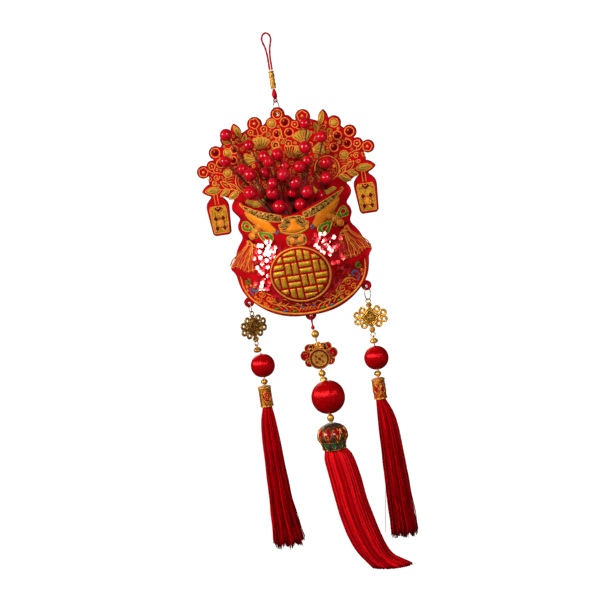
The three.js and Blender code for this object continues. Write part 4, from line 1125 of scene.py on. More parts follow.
for tier, (rise, step, finish) in enumerate(((-166.6, 6.6, RUST), (-170.4, 6.6, SCARLET))):
    for k in range(-5, 6):
        u = (k + 0.5 * tier) * step
        v = rise + 0.0062 * u * u
        fan = np.linspace(0, math.pi, 14)
        hill = np.stack([u + 3.1 * np.cos(fan), v + 3.1 * np.sin(fan)], -1)
        if abs(u) < 31:
            stamp_patch(hill, 0.3, finish, on_bag)
            stamp(hill, 0.6, 0.5, on_bag)
            stamp((hill - (u, v)) * 0.55 + (u, v), 0.55, 0.5, on_bag, finish=(OLIVE, DARK)[k % 2])
for k in range(5):
    arch = smooth([(-6 + 3 * k - 3, -174.6), (-6 + 3 * k, -171.4), (-6 + 3 * k + 3, -174.6)], 0.6)
    stamp(arch, 0.6, 0.5, on_bag, finish=ORANGE)
band_low = [(55, -140), (53.6, -148), (49.6, -155.5), (40.4, -164), (25.6, -171.6), (12, -175.2)]
band_top = [(0, -176.2), (0, -169.6), (14.6, -167.6), (26, -161), (32, -155), (39, -150)]
band_top += [(45, -144.6), (46, -140)]
for way in (1, -1):
    band = np.array(band_low + band_top, float) * (way, 1)
    add_curls(pocket_print, band, -180, 0.8, 2.2, on_bag, (ORANGE, GOLD, RUST), 0.6, 0.9)
make("pocket_print", pocket_print, pocket_inks)

# Sequins cover the belly round the medallion. Each is a small cupped foil disc with a hole, sewn on a
# little askew, so that some catch the light and most show deep red.
sequin_foil = Finish("sequin_foil", {"Metallic": 0.5, "Roughness": 0.2})
sequin_foil.feed({"Coat Weight": 0.8, "Coat Roughness": 0.06})
each_disc = sequin_foil.node("ShaderNodeNewGeometry", {}, {}, output=8)
foil_reds = [(0.1, colour(0.36, 0.0, 0.004)), (0.5, colour(0.8, 0.0, 0.01))]
sequin_foil.shade(each_disc, *foil_reds, (0.9, colour(1.0, 0.02, 0.04)))
field_half = [(0, -112), (10, -114.6), (15, -106), (21, -105), (31, -109), (38, -113), (40.5, -124)]
field_half += [(38, -137.5), (43, -138.5), (43, -144), (38, -149), (31, -154), (25, -160)]
field_half += [(14, -166.5), (0, -168.5)]
field = np.array(field_half + [(-u, v) for u, v in reversed(field_half[1:-1])], float)
medallion_v, medallion_radius, medallion_squash = -141, 28.6, 0.95
pad_inner, pad_inner_high = medallion_radius - 0.6, medallion_radius * medallion_squash - 0.6
# Some discs at each side face one way, so that they flash together.
left_glint, right_glint = Vector((-0.316, -0.913, 0.26)), Vector((0.217, -0.949, 0.229))
disc_profile = [(0.35, 0.0), (1.2, 0.01), (2.0, 0.04), (2.0, -0.02), (1.2, -0.06), (0.35, -0.08)]
chance = random.Random(7)
sequins = Heap()
pitch = 3.3
for row in range(25):
    for column in range(30):
        u = -45 + (column + 0.5 * (row % 2)) * pitch + chance.uniform(-0.3, 0.3)
        v = -104 - row * pitch * 0.84 + chance.uniform(-0.3, 0.3)
        spot = np.array([[u, v]])
        beyond = math.hypot(u / pad_inner, (v - medallion_v) / pad_inner_high)
        if not inside(spot, field)[0] or beyond < 1:
            continue
        base = on_bag(spot, np.array([0.55 + 0.25 * chance.random()]))[0]
        out = Vector(on_bag(spot, np.array([2.0]))[0] - base).normalized() + Vector((0, 0, 0.24))
        askew = 0.17
        if u < -17 and v > -150 and chance.random() < 0.42 or u > 12 and v > -134 and chance.random() < 0.1:
            out = left_glint.copy()
            askew = 0.05
            base[1] -= 0.6
        elif u > 8 and v > -136 and chance.random() < 0.4:
            out = right_glint.copy()
            askew = 0.11
            base[1] -= 0.4
        elif u > 24 and -150 < v < -126:
            out = out + Vector((0.4, 0, -0.6))
        out = (out + Vector((chance.gauss(0, askew), 0, chance.gauss(0, askew)))).normalized()
        side = out.cross(Vector((0, 0, 1))).normalized()
        top = side.cross(out)
        turn = np.linspace(0, 2 * math.pi, 12, endpoint=False)
        rings_out = []
        for radius, lift in disc_profile:
            spin = np.outer(np.cos(turn), side) + np.outer(np.sin(turn), top)
            rings_out.append(base + radius * spin + lift * np.array(out))
        sequins.add_grid(np.stack(rings_out), along=True)
make("sequin_field", sequins, [sequin_foil], crease=35)


# The medallion is a round felt pad, stuffed a little, with a rolled gold rim. Inside it, pairs of gold
# glitter bars lie crosswise to their neighbours, as in a woven mat, and are cut round at the rim.
def pad_rise(share):
    """How far the pad stands above its foot at a share of its radius."""
    return 5 * (1 - np.clip(share, 0, 1) ** 6) ** 0.6 * (0.82 + 0.18 * (1 - share**2))


def on_pad(places, lift):
    """Points that stand lift in front of the pad's crowned face."""
    offset = places - (0, medallion_v)
    share = np.clip(np.hypot(offset[:, 0], offset[:, 1] / medallion_squash) / medallion_radius, 0, 1)
    forward = bag_at(places) + pocket_felt / 2 + 0.6 + pad_rise(share) + lift
    return on_row(np.stack([places[:, 0], -forward, places[:, 1] + 0.3 * pad_rise(share)], -1))


spokes = 96


def pad_ring(share):
    """Places round the pad at a share of its radius."""
    turn = np.linspace(0, 2 * math.pi, spokes, endpoint=False)
    across = medallion_radius * share * np.cos(turn)
    return np.stack([across, medallion_v + medallion_radius * medallion_squash * share * np.sin(turn)], -1)


pad = Heap()
pad_rows = []
for share in (1 - np.linspace(0, 1, 24) ** 1.6) * 0.998:
    pad_rows.append(on_pad(pad_ring(share), np.zeros(spokes)))
foot_places = pad_ring(0.998)
foot_depth = -bag_at(foot_places) - pocket_felt / 2 - 0.3
pad_foot = on_row(np.stack([foot_places[:, 0], foot_depth, foot_places[:, 1]], -1))
pad.add_grid(np.stack([pad_foot] + pad_rows), 0)
glitter = Finish("gold_glitter", {"Roughness": 0.4, "Metallic": 0.4, "Specular IOR Level": 0.1})
sparkle = glitter_specks(glitter, 2400)
glitter_golds = [(0.15, colour(0.2, 0.08, 0.004)), (0.5, colour(0.8, 0.4, 0.02))]
glitter.shade(sparkle, *glitter_golds, (0.85, colour(1.0, 0.7, 0.08)))
glitter.bump(sparkle, 0.16, 0.9)
for share, width, height, finish in ((0.925, 1.6, 1.0, 2), (0.888, 0.5, 0.4, 3)):
    rim_line = circle(0, 0, medallion_radius * share, 110) * (1, medallion_squash) + (0, medallion_v)
    add_line(pad, rim_line, width, height, on_pad, closed=True, finish=finish)


def clip_round(shape, radius):
    """The part of a shape that lies inside a circle, cut side by side."""
    for turn in np.linspace(0, 2 * math.pi, 72, endpoint=False):
        out = np.array((math.cos(turn), math.sin(turn)))
        kept = []
        for start, end in zip(shape, np.roll(shape, -1, axis=0)):
            before, after = radius - start @ out, radius - end @ out
            if before >= 0:
                kept.append(start)
            if before * after < 0:
                kept.append(start + (end - start) * before / (before - after))
        shape = np.array(kept)
        if len(shape) < 3:
            return shape
    return shape


bar_width, bar_gap = 4.4, 1.8
bar_length = 2 * bar_width + bar_gap
for column in range(4):
    for row in range(4):
        middle = (np.array((column, row)) - 1.5) * (bar_length + bar_gap)
        for way in (1, -1):
            offset, half = (0, way * (bar_width + bar_gap) / 2), (bar_length / 2, bar_width / 2)
            if (column + row) % 2:
                offset, half = offset[::-1], half[::-1]
            bar = middle + offset + np.array([(1, 1), (-1, 1), (-1, -1), (1, -1)]) * half
            bar = clip_round(bar, 23.8)
            if len(bar) > 2 and np.ptp(bar, axis=0).min() > 1.6:
                bar = bar * (1, medallion_squash) + (0, medallion_v)
                add_patch(pad, resample(bar, 0.8, closed=True), 0.9, on_pad, 1, 1.8, 0.4)
pad_finishes = [red_felt, glitter, gold_line, dark_ink]
medallion = make("medallion_pad", pad, pad_finishes, ["medallion"])

# The berries are lacquered foam balls on wire stems wrapped in brown tape. The stems are gathered in the
# pocket, run up behind the bunch and bend forward, each to its own berry.
lacquer = Finish("berry_lacquer", {"Roughness": 0.45, "Coat Weight": 0.8, "Coat Roughness": 0.05})
lacquer.feed({"Specular IOR Level": 0.3, "Specular Tint": colour(1.0, 0.1, 0.12)})
lacquer.shade(lacquer.noise(4, 3), (0.3, colour(0.4, 0.0, 0.008)), (0.65, colour(0.6, 0.0, 0.014)))
lacquer.bump(lacquer.noise(1.5, 2), 0.05, 0.4)
tape = Finish("stem_tape", {"Roughness": 0.75})
tape.shade(tape.noise(0.9, 3), (0.3, colour(0.05, 0.004, 0.004)), (0.7, colour(0.16, 0.02, 0.014)))
tape.bump(tape.noise(0.5, 2), 0.12, 0.8)


def eased(points):
    """A line with its corners cut again and again until it bends softly."""
    points = np.asarray(points, float)
    for _ in range(3):
        near = points[:-1] * 0.75 + points[1:] * 0.25
        far = points[:-1] * 0.25 + points[1:] * 0.75
        points = np.concatenate([points[:1], np.stack([near, far], 1).reshape(-1, 3), points[-1:]])
    return points


ball_cut = 1 - math.cos(math.pi / 6)
for name in sorted(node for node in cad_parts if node.startswith("berry_")):
    corners = np.array([tuple(vertex.co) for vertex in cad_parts[name].data.vertices]) * 1000
    top = corners[np.argmax(corners[:, 2])]
    second = np.unique(np.round(corners[:, 2], 2))[-2]
    radius = (top[2] - second) / ball_cut
    centre = top - (0, 0, radius)
    foot = corners[corners[:, 2] < corners[:, 2].min() + 0.5].mean(0)
    bend = foot + (0, 0, 14)
    behind = np.array((centre[0], foot[1] - 0.4, centre[2] - 3))
    toward = (centre - behind) / np.linalg.norm(centre - behind)
    berry = Heap()
    polar = np.linspace(0.02, math.pi - 0.02, 22)
    wobble = 1 - 0.03 * np.cos(polar) ** 8
    profile = np.stack([radius * np.sin(polar), radius * wobble * np.cos(polar)], -1)
    grid = turned(profile, sides=36)
    to_stem = Vector(toward).to_track_quat("Z", "Y").to_matrix()
    berry.add_grid(grid @ np.array(to_stem).T + centre, 0)
    stem_line = resample(eased([foot, bend, behind, centre - toward * radius * 0.7]), 0.9)
    berry.add_grid(tube(stem_line, 0.62, 10), 1)
    collar = centre - toward * (radius - 0.1)
    collar_line = [collar - toward * 0.9, collar - toward * 0.2, collar + toward * 0.5]
    berry.add_grid(tube(collar_line, [0.7, 1.25, 0.9], 10), 1)
    make(name + "_lacquered", berry, [lacquer, tape], [name])


# The side drops start with a cast charm: an endless-knot square with a raised frame and a four-petal
# flower, ringed by eight double wire loops, with a ribbed barrel and an eye above and below.
def add_ball(heap, centre, radius, finish=0, count=8):
    polar = np.linspace(0.05, math.pi - 0.05, count)
    grid = turned(np.stack([radius * np.sin(polar), -radius * np.cos(polar)], -1), sides=count + 4)
    heap.add_grid(grid + centre, finish)


def add_plate(heap, outline, depth, finish):
    """A flat plate with softened edges, standing upright about Y = 0."""
    points, faces = felt_sheet(np.asarray(outline, float), [], depth, 0.25)
    heap.add(points, faces, finish)


def on_face(line, depth):
    """A line across and up, set upright at a depth."""
    return np.stack([line[:, 0], np.full(len(line), depth), line[:, 1]], -1)


def diamond(half):
    return resample([(half, 0), (0, half), (-half, 0), (0, -half)], 0.5, closed=True)


antique_gold = metal("antique_gold", colour(0.8, 0.44, 0.07), colour(0.12, 0.045, 0.006), 0.4, 0.5, 0.08)
pale_gold = metal("pale_gold", colour(1.0, 0.58, 0.1), colour(0.5, 0.2, 0.02), 0.4, 0.5, 0.06)
hollow_gold = metal("hollow_gold", colour(0.36, 0.17, 0.03), colour(0.05, 0.016, 0.004), 0.45, 0.4, 0.08)
drops = {
    "left": dict(
        ring=(4.4, 2.0),
        charm=(-50.2, -255, 0.87),
        bead=-276.6,
        ball=(-47.6, -291.3, 11),
        lower=-306.3,
        cap=(-49.4, -309.8, -329.3),
        cast=antique_gold,
    ),
    "right": dict(
        ring=(6.2, 1.24),
        charm=(55.6, -259.5, 0.0),
        bead=-281.4,
        ball=(55.6, -296.9, 11),
        lower=-311.4,
        cap=(54.2, -315.3, -334.5),
        cast=pale_gold,
    ),
}
charm_loops = [(6.5, 6.8), (11.8, 2.9), (11.8, -2.9), (6.5, -6.8)]
for side, drop in drops.items():
    way = 1 if side == "right" else -1
    hole = on_row(np.array([[way * side_tab[0], 0, side_tab[1] - tab_hole_drop]]))[0]
    ring_radius, ring_yaw = drop["ring"]
    wire = Heap()
    ring_line = ring_path(ring_radius, hole[0], hole[2] - ring_radius, ring_yaw)
    wire.add_grid(tube(ring_line, 0.44, 12, closed=True), along=True)
    make(side + "_ring_wire", wire, [bright_wire], [side + "_ring"])

    charm_x, charm_z, charm_turn = drop["charm"]
    eye_top = hole[2] - 2 * ring_radius - charm_z - (2 - 0.5 - 0.4 - 0.45)
    eye_bottom = drop["bead"] + 4.1 + 2 - charm_z
    charm = Heap()
    add_plate(charm, diamond(9.9), 1.7, 1)
    for face in (-1, 1):
        for half, thick, depth in ((9.1, 0.62, 0.8), (6.9, 0.5, 0.85)):
            charm.add_grid(tube(on_face(diamond(half), face * depth), thick, 8, closed=True), along=True)
        for k in range(4):
            turn = k * math.pi / 2 + math.pi / 4
            petal_line = ring_path(1.35, 2.1 * math.cos(turn), 2.1 * math.sin(turn), count=24, y=face * 0.95)
            charm.add_grid(tube(petal_line, 0.4, 8, closed=True), along=True)
            dot_turn = k * math.pi / 2
            add_ball(charm, (4.5 * math.cos(dot_turn), face * 0.9, 4.5 * math.sin(dot_turn)), 0.6)
        add_ball(charm, (0, face * 0.9, 0), 0.8)
    for u, v in charm_loops:
        for mirror_way in (1, -1):
            for radius, thick in ((2.6, 0.85), (1.6, 0.55)):
                loop_line = ring_path(radius, mirror_way * u, v, count=32)
                charm.add_grid(tube(loop_line, thick, 10, closed=True), along=True)
    for up in (1, -1):
        eye = eye_top if up > 0 else eye_bottom
        near, far = up * 9, eye - up * 1.9
        low, high = min(near, far), max(near, far)
        share = np.linspace(0, 1, 24)
        swell = 1.35 + 1.35 * np.sin(share * math.pi) ** 0.8 + 0.18 * np.sin(share * 8 * math.pi)
        charm.add_grid(turned(np.stack([swell, low + (high - low) * share], -1), sides=28))
        charm.add_grid(tube(ring_path(2, 0, eye, count=32), 0.48, 10, closed=True), along=True)
    turn_cos, turn_sin = math.cos(charm_turn), math.sin(charm_turn)
    turned_charm = np.array([[turn_cos, turn_sin, 0], [-turn_sin, turn_cos, 0], [0, 0, 1]])
    charm.points = [points @ turned_charm + (charm_x, 0, charm_z) for points in charm.points]
    make(side + "_charm_cast", charm, [drop["cast"], hollow_gold], [side + "_charm"], 45)


# Under each charm hangs a cast bead with its own small eye. A wound ball follows it: silk thread laid from
# pole to pole over a core, so that it catches the light in a band. A second bead sits under the ball.
def bead_grid(x, z, radius, half, ribs, depth):
    """A bead a little fuller than an ellipsoid, with upright ribs."""
    sides = 40
    polar = np.linspace(0.06, math.pi - 0.06, 18)
    profile = np.stack([radius * np.sin(polar) ** 0.85, z - half * np.cos(polar)], -1)
    grid = turned(profile, sides=sides)
    if ribs:
        angle = np.linspace(0, 2 * math.pi, sides, endpoint=False)
        grid[:, :, :2] *= (1 - depth * np.abs(np.sin(ribs / 2 * angle)) ** 3)[None, :, None]
    return grid + (x, 0, 0)


def thread_grid(x, top, bottom, radius=0.5):
    return tube([(x, 0, top), (x, 0, (top + bottom) / 2), (x, 0, bottom)], radius, 10)


def wound_ball(heap, x, z, radius, half, top, bottom, threads):
    """Thread wound from pole to pole, thicker toward the poles where the turns crowd."""
    heap.add_grid(thread_grid(x, top, bottom), 1)
    polar = np.linspace(0.07, math.pi - 0.07, 40)
    profile = np.stack([radius * np.sin(polar) ** 0.92, z - half * np.cos(polar)], -1)
    sides = threads * 4
    grid = turned(profile, sides=sides)
    angle = np.arange(sides) * 2 * math.pi / sides
    ridge = np.abs(np.cos(threads / 2 * angle))
    uneven = 0.5 + 0.5 * np.sin(angle * 17 + 3 * np.sin(angle * 5))
    grid[:, :, :2] *= (0.985 + 0.012 * ridge + 0.006 * uneven)[None, :, None]
    heap.add_grid(grid + (x, 0, 0), 0)
    for way in (1, -1):
        neck = [(0.7, z + way * half * 0.9), (1.9, z + way * half * 0.97), (1.2, z + way * half * 1.02)]
        heap.add_grid(turned(neck, sides=24) + (x, 0, 0), 0)


ball_silk = satin("ball_silk", colour(0.62, 0.0, 0.004), colour(0.36, 0.0, 0.001), 0.26)
ball_silk.feed({"Specular IOR Level": 1.0, "Specular Tint": colour(1.0, 0.1, 0.12), "Metallic": 0.4})
black_thread = Finish("black_thread", {"Roughness": 0.7, "Base Color": colour(0.01, 0.008, 0.008)})
black_thread.bump(black_thread.noise(0.4, 2), 0.08)
for side, drop in drops.items():
    charm_x, charm_z, charm_turn = drop["charm"]
    ball_x, ball_z, ball_radius = drop["ball"]
    bead_z, bead_foot = drop["bead"], drop["bead"] - 2.3
    bead = Heap()
    bead.add_grid(bead_grid(charm_x, bead_z, 3.75, 2.3, 14, 0.07))
    collar_grid = tube(ring_path(2.1, charm_x, 0, count=24), 0.35, 8, closed=True)[:, :, [0, 2, 1]]
    bead.add_grid(collar_grid + (0, 0, bead_z + 2.1), along=True)
    bead.add_grid(thread_grid(charm_x, bead_z + 3, bead_z + 1.5, 0.7))
    eye_line = ring_path(1.3, charm_x, bead_z + 4.1, charm_turn + math.pi / 2, 28)
    bead.add_grid(tube(eye_line, 0.38, 8, closed=True), along=True)
    make(side + "_upper_bead_cast", bead, [drop["cast"]], [side + "_upper_bead"], 60)

    ball = Heap()
    ball_foot = ball_z - ball_radius - 0.6
    wound_ball(ball, ball_x, ball_z, ball_radius, ball_radius * 0.97, bead_foot - 0.3, ball_foot, 110)
    make(side + "_ball_wound", ball, [ball_silk, cord_silk], [side + "_ball"])

    cap_x, cap_top, _ = drop["cap"]
    lower_x, lower_z = (ball_x + cap_x) / 2, drop["lower"]
    lower = Heap()
    lower.add_grid(bead_grid(lower_x, lower_z, 3.25, 2.2, 12, 0.08))
    lower.add_grid(thread_grid(lower_x, ball_foot - 0.3, cap_top + 0.3, 0.6))
    for up in (1, -1):
        collar_line = ring_path(1.7, 0, 0, count=24)[:, [0, 2, 1]] + (lower_x, 0, lower_z + up * 2.1)
        lower.add_grid(tube(collar_line, 0.35, 8, closed=True), along=True)
    if side == "right":
        end = [(lower_x - 0.6, -1, ball_foot - 0.2), (lower_x - 2.4, -2.6, ball_foot - 1.2)]
        end += [(lower_x - 2.6, -3, ball_foot - 3.6)]
        lower.add_grid(tube(smooth(end, 0.4), 0.45, 8), 1)
    lower_finishes = [drop["cast"], black_thread]
    make(side + "_lower_bead_cast", lower, lower_finishes, [side + "_lower_bead"], 60)


# The caps are thimbles covered in gold brocade, with a rolled cord at each rim. The left one has a round
# red patch with a four-petal flower, and the right one a red band of petals round its middle.
def brocade(name, gold, ground):
    """Cloth of gold: a fine weave of gold thread with a darker flowing figure."""
    finish = Finish(name, {"Roughness": 0.42, "Metallic": 0.4, "Specular IOR Level": 0.12})
    figure = abs(finish.noise(4.5, 2) - 0.5)
    mask = (figure < 0.055) * 0.9
    weave = {"Scale": 1100.0, "Distortion": 0.6, "Vector": finish.where()}
    threads = finish.node("ShaderNodeTexWave", {"bands_direction": "Z"}, weave, output=1)
    shade = finish.blend(threads * 0.5 + finish.noise(1.5, 2) * 0.4, gold, ground)
    finish.feed({"Base Color": finish.blend(mask, shade, ground)})
    finish.bump(threads * 0.4 - mask, 0.14, 0.8)
    return finish


def round_place(x, radius_at, turn):
    """Places on a turned piece: across as arc length at its widest, up as height."""
    widest = float(radius_at(np.linspace(-500, 0, 2000)).max())

    def place(places, lift):
        angle = places[:, 0] / widest + turn
        radius = radius_at(places[:, 1]) + lift
        return np.stack([x + radius * np.sin(angle), -radius * np.cos(angle), places[:, 1]], -1)

    return place


brocade_gold = brocade("brocade_gold", colour(0.85, 0.38, 0.03), colour(0.24, 0.04, 0.004))
brocade_red = brocade("brocade_red", colour(0.9, 0.4, 0.04), colour(0.36, 0.015, 0.004))
for side, drop in drops.items():
    cap_x, top, bottom = drop["cap"]
    radius = 5.8
    cap = Heap()
    wall = [(radius - 0.9, bottom + 4), (radius - 0.9, bottom + 0.2), (radius - 0.1, bottom)]
    wall += [(radius + 0.3, bottom + 0.7), (radius, bottom + 1.7), (radius, top - 2.4)]
    wall += [(radius + 0.3, top - 1.5), (radius - 0.6, top - 0.5), (3.2, top - 0.15)]
    wall += [(1.6, top), (0.4, top - 0.1)]
    cap.add_grid(turned(resample(wall, 0.4), cap_x, 64), 0 if side == "left" else 1)
    for height in (bottom + 0.8, top - 1.4):
        line = ring_path(radius + 0.05, 0, 0, count=120)[:, [0, 2, 1]] + (cap_x, 0, height)
        pitch = line.shape[0] * 0.305 / 22
        rim_grid = tube(line, 0.52, 12, closed=True, plies=2, relief=0.12, pitch=pitch)
        cap.add_grid(rim_grid, 2, along=True)
    on_cap = round_place(cap_x, lambda z: np.full(np.shape(z), radius), 0.42 if side == "left" else 0.1)
    middle = (top + bottom) / 2
    if side == "left":
        add_patch(cap, circle(0, middle, 4.3, 36), 0.3, on_cap, 3)
        add_line(cap, circle(0, middle, 4.3, 40), 0.6, 0.5, on_cap, closed=True, finish=2)
        for k in range(4):
            turn = k * math.pi / 2 + math.pi / 4
            spot = (1.7 * math.cos(turn), middle + 1.7 * math.sin(turn))
            add_line(cap, circle(*spot, 1.25, 18), 0.4, 0.55, on_cap, closed=True, finish=2)
    else:
        for k in range(6):
            spot_u = (k - 2.5) * 6.07
            root, tip = (spot_u, middle - 3.4), (spot_u, middle + 3.6)
            leaf = leaf_outline(root, tip, 1.9)
            add_patch(cap, leaf, 0.28, on_cap, 3)
            add_line(cap, resample(leaf, 0.5, closed=True), 0.45, 0.45, on_cap, closed=True, finish=2)
    cap_finishes = [brocade_gold, brocade_red, bright_gold, cord_silk]
    make(side + "_cap_brocade", cap, cap_finishes, [side + "_cap"])


# The tassels are hundreds of fine silk threads. They leave the cap side by side, spread a little as they
# fall and end unevenly. Threads at the back and streaks among the others take a darker copy of the silk,
# as painted shade.
def fall_of_threads(heap, head_x, head_radius, head_bottom, route, count, thick, seed, steps=26):
    """Threads from a head, each along its own smooth route. route takes a place across and deep."""
    chance = random.Random(seed)
    golden = math.pi * (3 - math.sqrt(5))
    for k in range(count):
        share = math.sqrt((k + 0.5) / count)
        a = share * math.cos(k * golden) + chance.uniform(-0.03, 0.03)
        b = share * math.sin(k * golden) + chance.uniform(-0.03, 0.03)
        reach = max(1.0, math.hypot(a, b))
        a, b = a / reach, b / reach
        root = np.array([head_x + a * head_radius, b * head_radius, head_bottom])
        stops = [root + (0, 0, 1.5), root] + [np.array(point) for point in route(a, b, chance)]
        line = smooth(stops, 1.0)
        line = line[np.linspace(0, len(line) - 1, steps).astype(int)]
        sway = np.linspace(0, 0.35, steps)
        phase, pace = chance.uniform(0, 6.3), chance.uniform(0.5, 1.1)
        line[:, 0] += sway * np.sin(phase + pace * np.arange(steps))
        line[:, 1] += sway * np.cos(phase * 1.7 + pace * np.arange(steps))
        # Painted shade: threads at the back and in streaks take the darker copy of the silk.
        in_painted_shade = math.sin(31 * a + 4 * math.sin(7 * a) + 2 * b) > 0.25 or b > 0.4
        heap.add_grid(tube(line, thick * chance.uniform(0.85, 1.15), 3), int(in_painted_shade))


def strands(name, dark, middle, bright, painted_shade_down):
    """Silk threads, each of its own tone, with painted shade that darkens them from the cap down to the ends.
    """
    finish = Finish(name, {"Roughness": 0.36, "Specular Tint": colour(1.0, 0.06, 0.08)})
    each = finish.node("ShaderNodeNewGeometry", {}, {}, output=8)
    height = finish.node("ShaderNodeSeparateXYZ", {}, {"Vector": finish.where()}, output=2)
    # Painted shade: the colour darkens with the distance below the cap, in place of light falling off down
    # the tassel.
    factor = each * 0.8 + 0.2 - (height * -1 - 0.34) * painted_shade_down
    finish.shade(factor, (0.0, colour(*dark)), (0.45, colour(*middle)), (1.0, colour(*bright)))
    finish.bump(finish.noise(0.5, 2), 0.05, 0.4)
    return finish


# Each tassel has its silk and a darker copy of it, which is painted shade.
side_silk = strands("side_silk", (0.14, 0.0, 0.001), (0.5, 0.0, 0.004), (0.8, 0.002, 0.008), 2)
side_painted_shade = strands("side_painted_shade", (0.05, 0.0, 0.001), (0.2, 0.0, 0.002), (0.42, 0.0, 0.004), 2)
middle_silk = strands("middle_silk", (0.4, 0.0, 0.004), (0.9, 0.004, 0.01), (1.0, 0.02, 0.03), 2.4)
middle_painted_shade = strands("middle_painted_shade", (0.16, 0.0, 0.002), (0.5, 0.0, 0.006), (0.75, 0.004, 0.012), 2.4)
side_ends = {
    "left": [(-352, -50.6, 7.6), (-418, -50.2, 10.4), (-459, -48.4, 14.4)],
    "right": [(-358, 57.4, 8.6), (-412, 58.2, 10.8), (-461, 58.8, 12.2)],
}
for seed, (side, ends) in enumerate(side_ends.items()):
    cap_x, _, cap_bottom = drops[side]["cap"]

    def side_route(a, b, chance):
        uneven = chance.uniform(-2.6, 2.6) + 2.2 * math.sin(9 * a + 4 * b + seed)
        clump = 0.5 * math.sin(13 * a + 17 * b)
        return [
            (x + a * half + clump * k, b * half * 0.8, z + uneven * k / 2)
            for k, (z, x, half) in enumerate(ends)
        ]

    tassel = Heap()
    bundle = [(3.6, cap_bottom - 0.3), (4.4, cap_bottom + 0.4), (4.4, cap_bottom + 5)]
    tassel.add_grid(turned(bundle, cap_x, 28))
    fall_of_threads(tassel, cap_x, 4.1, cap_bottom - 0.4, side_route, 620, 0.34, 11 + seed)
    if side == "right":
        stray = smooth([(50.6, -2, -392), (48.2, -4, -412), (44.6, -4, -436), (41.6, -3, -459)], 3)
        tassel.add_grid(tube(stray, 0.28, 4))
    make(side + "_tassel_threads", tassel, [side_silk, side_painted_shade], [side + "_tassel"])

# The middle drop hangs from the lowest tab by a loop of the same cord, tied off in a small knot. Below it
# come a gold bead, an enamelled charm, another bead and the gold neck of the largest wound ball.
hole = on_row(np.array([[0, 0, bottom_tab[1] - tab_hole_drop]]))[0]
link = Heap()
link_line = ring_path(3.6, hole[0], hole[2] - 3.6, math.pi / 2, 60)
link.add_grid(tube(link_line, 0.48, 12, closed=True, plies=2, relief=0.08, pitch=3.77), along=True)
link_foot, neck = -264.4, hole[2] - 7.2
knot_side = [(0.7, link_foot), (1.5, link_foot + 1.2), (1.65, link_foot + 2.2)]
knot_side += [(0.9, link_foot + 4), (0.55, neck)]
link.add_grid(turned(smooth(knot_side, 0.25), hole[0], 28))
for tilt in (0.5, -0.5):
    wrap_line = ring_path(1.35, 0, 0, count=24)[:, [0, 2, 1]]
    wrap_line[:, 2] += wrap_line[:, 0] * tilt
    link.add_grid(tube(wrap_line + (hole[0], 0, link_foot + 1.9), 0.42, 8, closed=True), along=True)
make("middle_link_cord", link, [cord_silk], ["middle_link"])

for name, x, z, radius, half, top, bottom, ribs in (
    ("middle_top_bead", 4.1, -268.5, 3.5, 3.3, -264.7, -275.4, 0),
    ("middle_charm_bead", 4.9, -305.2, 3.4, 2.9, -301.3, -308.4, 12),
    ("middle_lower_bead", 6.6, -347.1, 3.35, 3.35, -343.6, -351, 16),
):
    bead = Heap()
    bead.add_grid(bead_grid(x, z, radius, half, ribs, 0.06))
    bead.add_grid(thread_grid(x, top, bottom, 0.6), 1)
    for up in (1, -1):
        collar_line = ring_path(radius * 0.45, 0, 0, count=24)[:, [0, 2, 1]] + (x, 0, z + up * half * 0.96)
        bead.add_grid(tube(collar_line, 0.32, 8, closed=True), along=True)
    make(name + "_cast", bead, [bright_gold, cord_silk], [name], 60)

# The middle charm is a die-cast coin with cloud scrolls on both sides and a small crown on top. Its
# hollows are filled with deep red enamel, and all its raised lines are gold.
coin_x, coin_z = 4.8, -291.4
coin_lobes = [(4.6, 10.2, 4.2), (8.4, 10.6, 4), (12, 4.2, 5), (9.6, -2.4, 4.2)]


def glaze(name, dark, bright, roughness, coat, coat_roughness):
    """Fired enamel: a clear coat over a colour that pools darker in places."""
    finish = Finish(name, {"Roughness": roughness, "Coat Weight": coat, "Coat Roughness": coat_roughness})
    finish.shade(finish.noise(2, 3), (0.3, dark), (0.7, bright))
    finish.bump(finish.noise(1, 2), 0.05, 0.5)
    return finish


enamel = glaze("red_enamel", colour(0.2, 0.0, 0.004), colour(0.38, 0.0, 0.008), 0.3, 0.5, 0.05)
enamel.feed({"Specular IOR Level": 0.3, "Specular Tint": colour(1.0, 0.1, 0.1)})
dark_enamel = glaze("dark_enamel", colour(0.05, 0.004, 0.003), colour(0.16, 0.01, 0.006), 0.25, 0.6, 0.1)
charm = Heap()
for u, v, radius in coin_lobes:
    for way in (1, -1):
        add_plate(charm, circle(way * u, v, radius - 0.05, 32), 2.2, 1)
add_plate(charm, circle(0, 12.3, 3.35, 28), 2.5, 0)
add_plate(charm, circle(0, 0, 9.5, 64), 3.1, 0)


def add_rings(heap, x, z, radius, thick, face_depth, finish):
    for face in (-1, 1):
        line = ring_path(radius, x, z, count=max(20, int(radius * 8)), y=face * face_depth)
        heap.add_grid(tube(line, thick, 8, closed=True), finish, along=True)


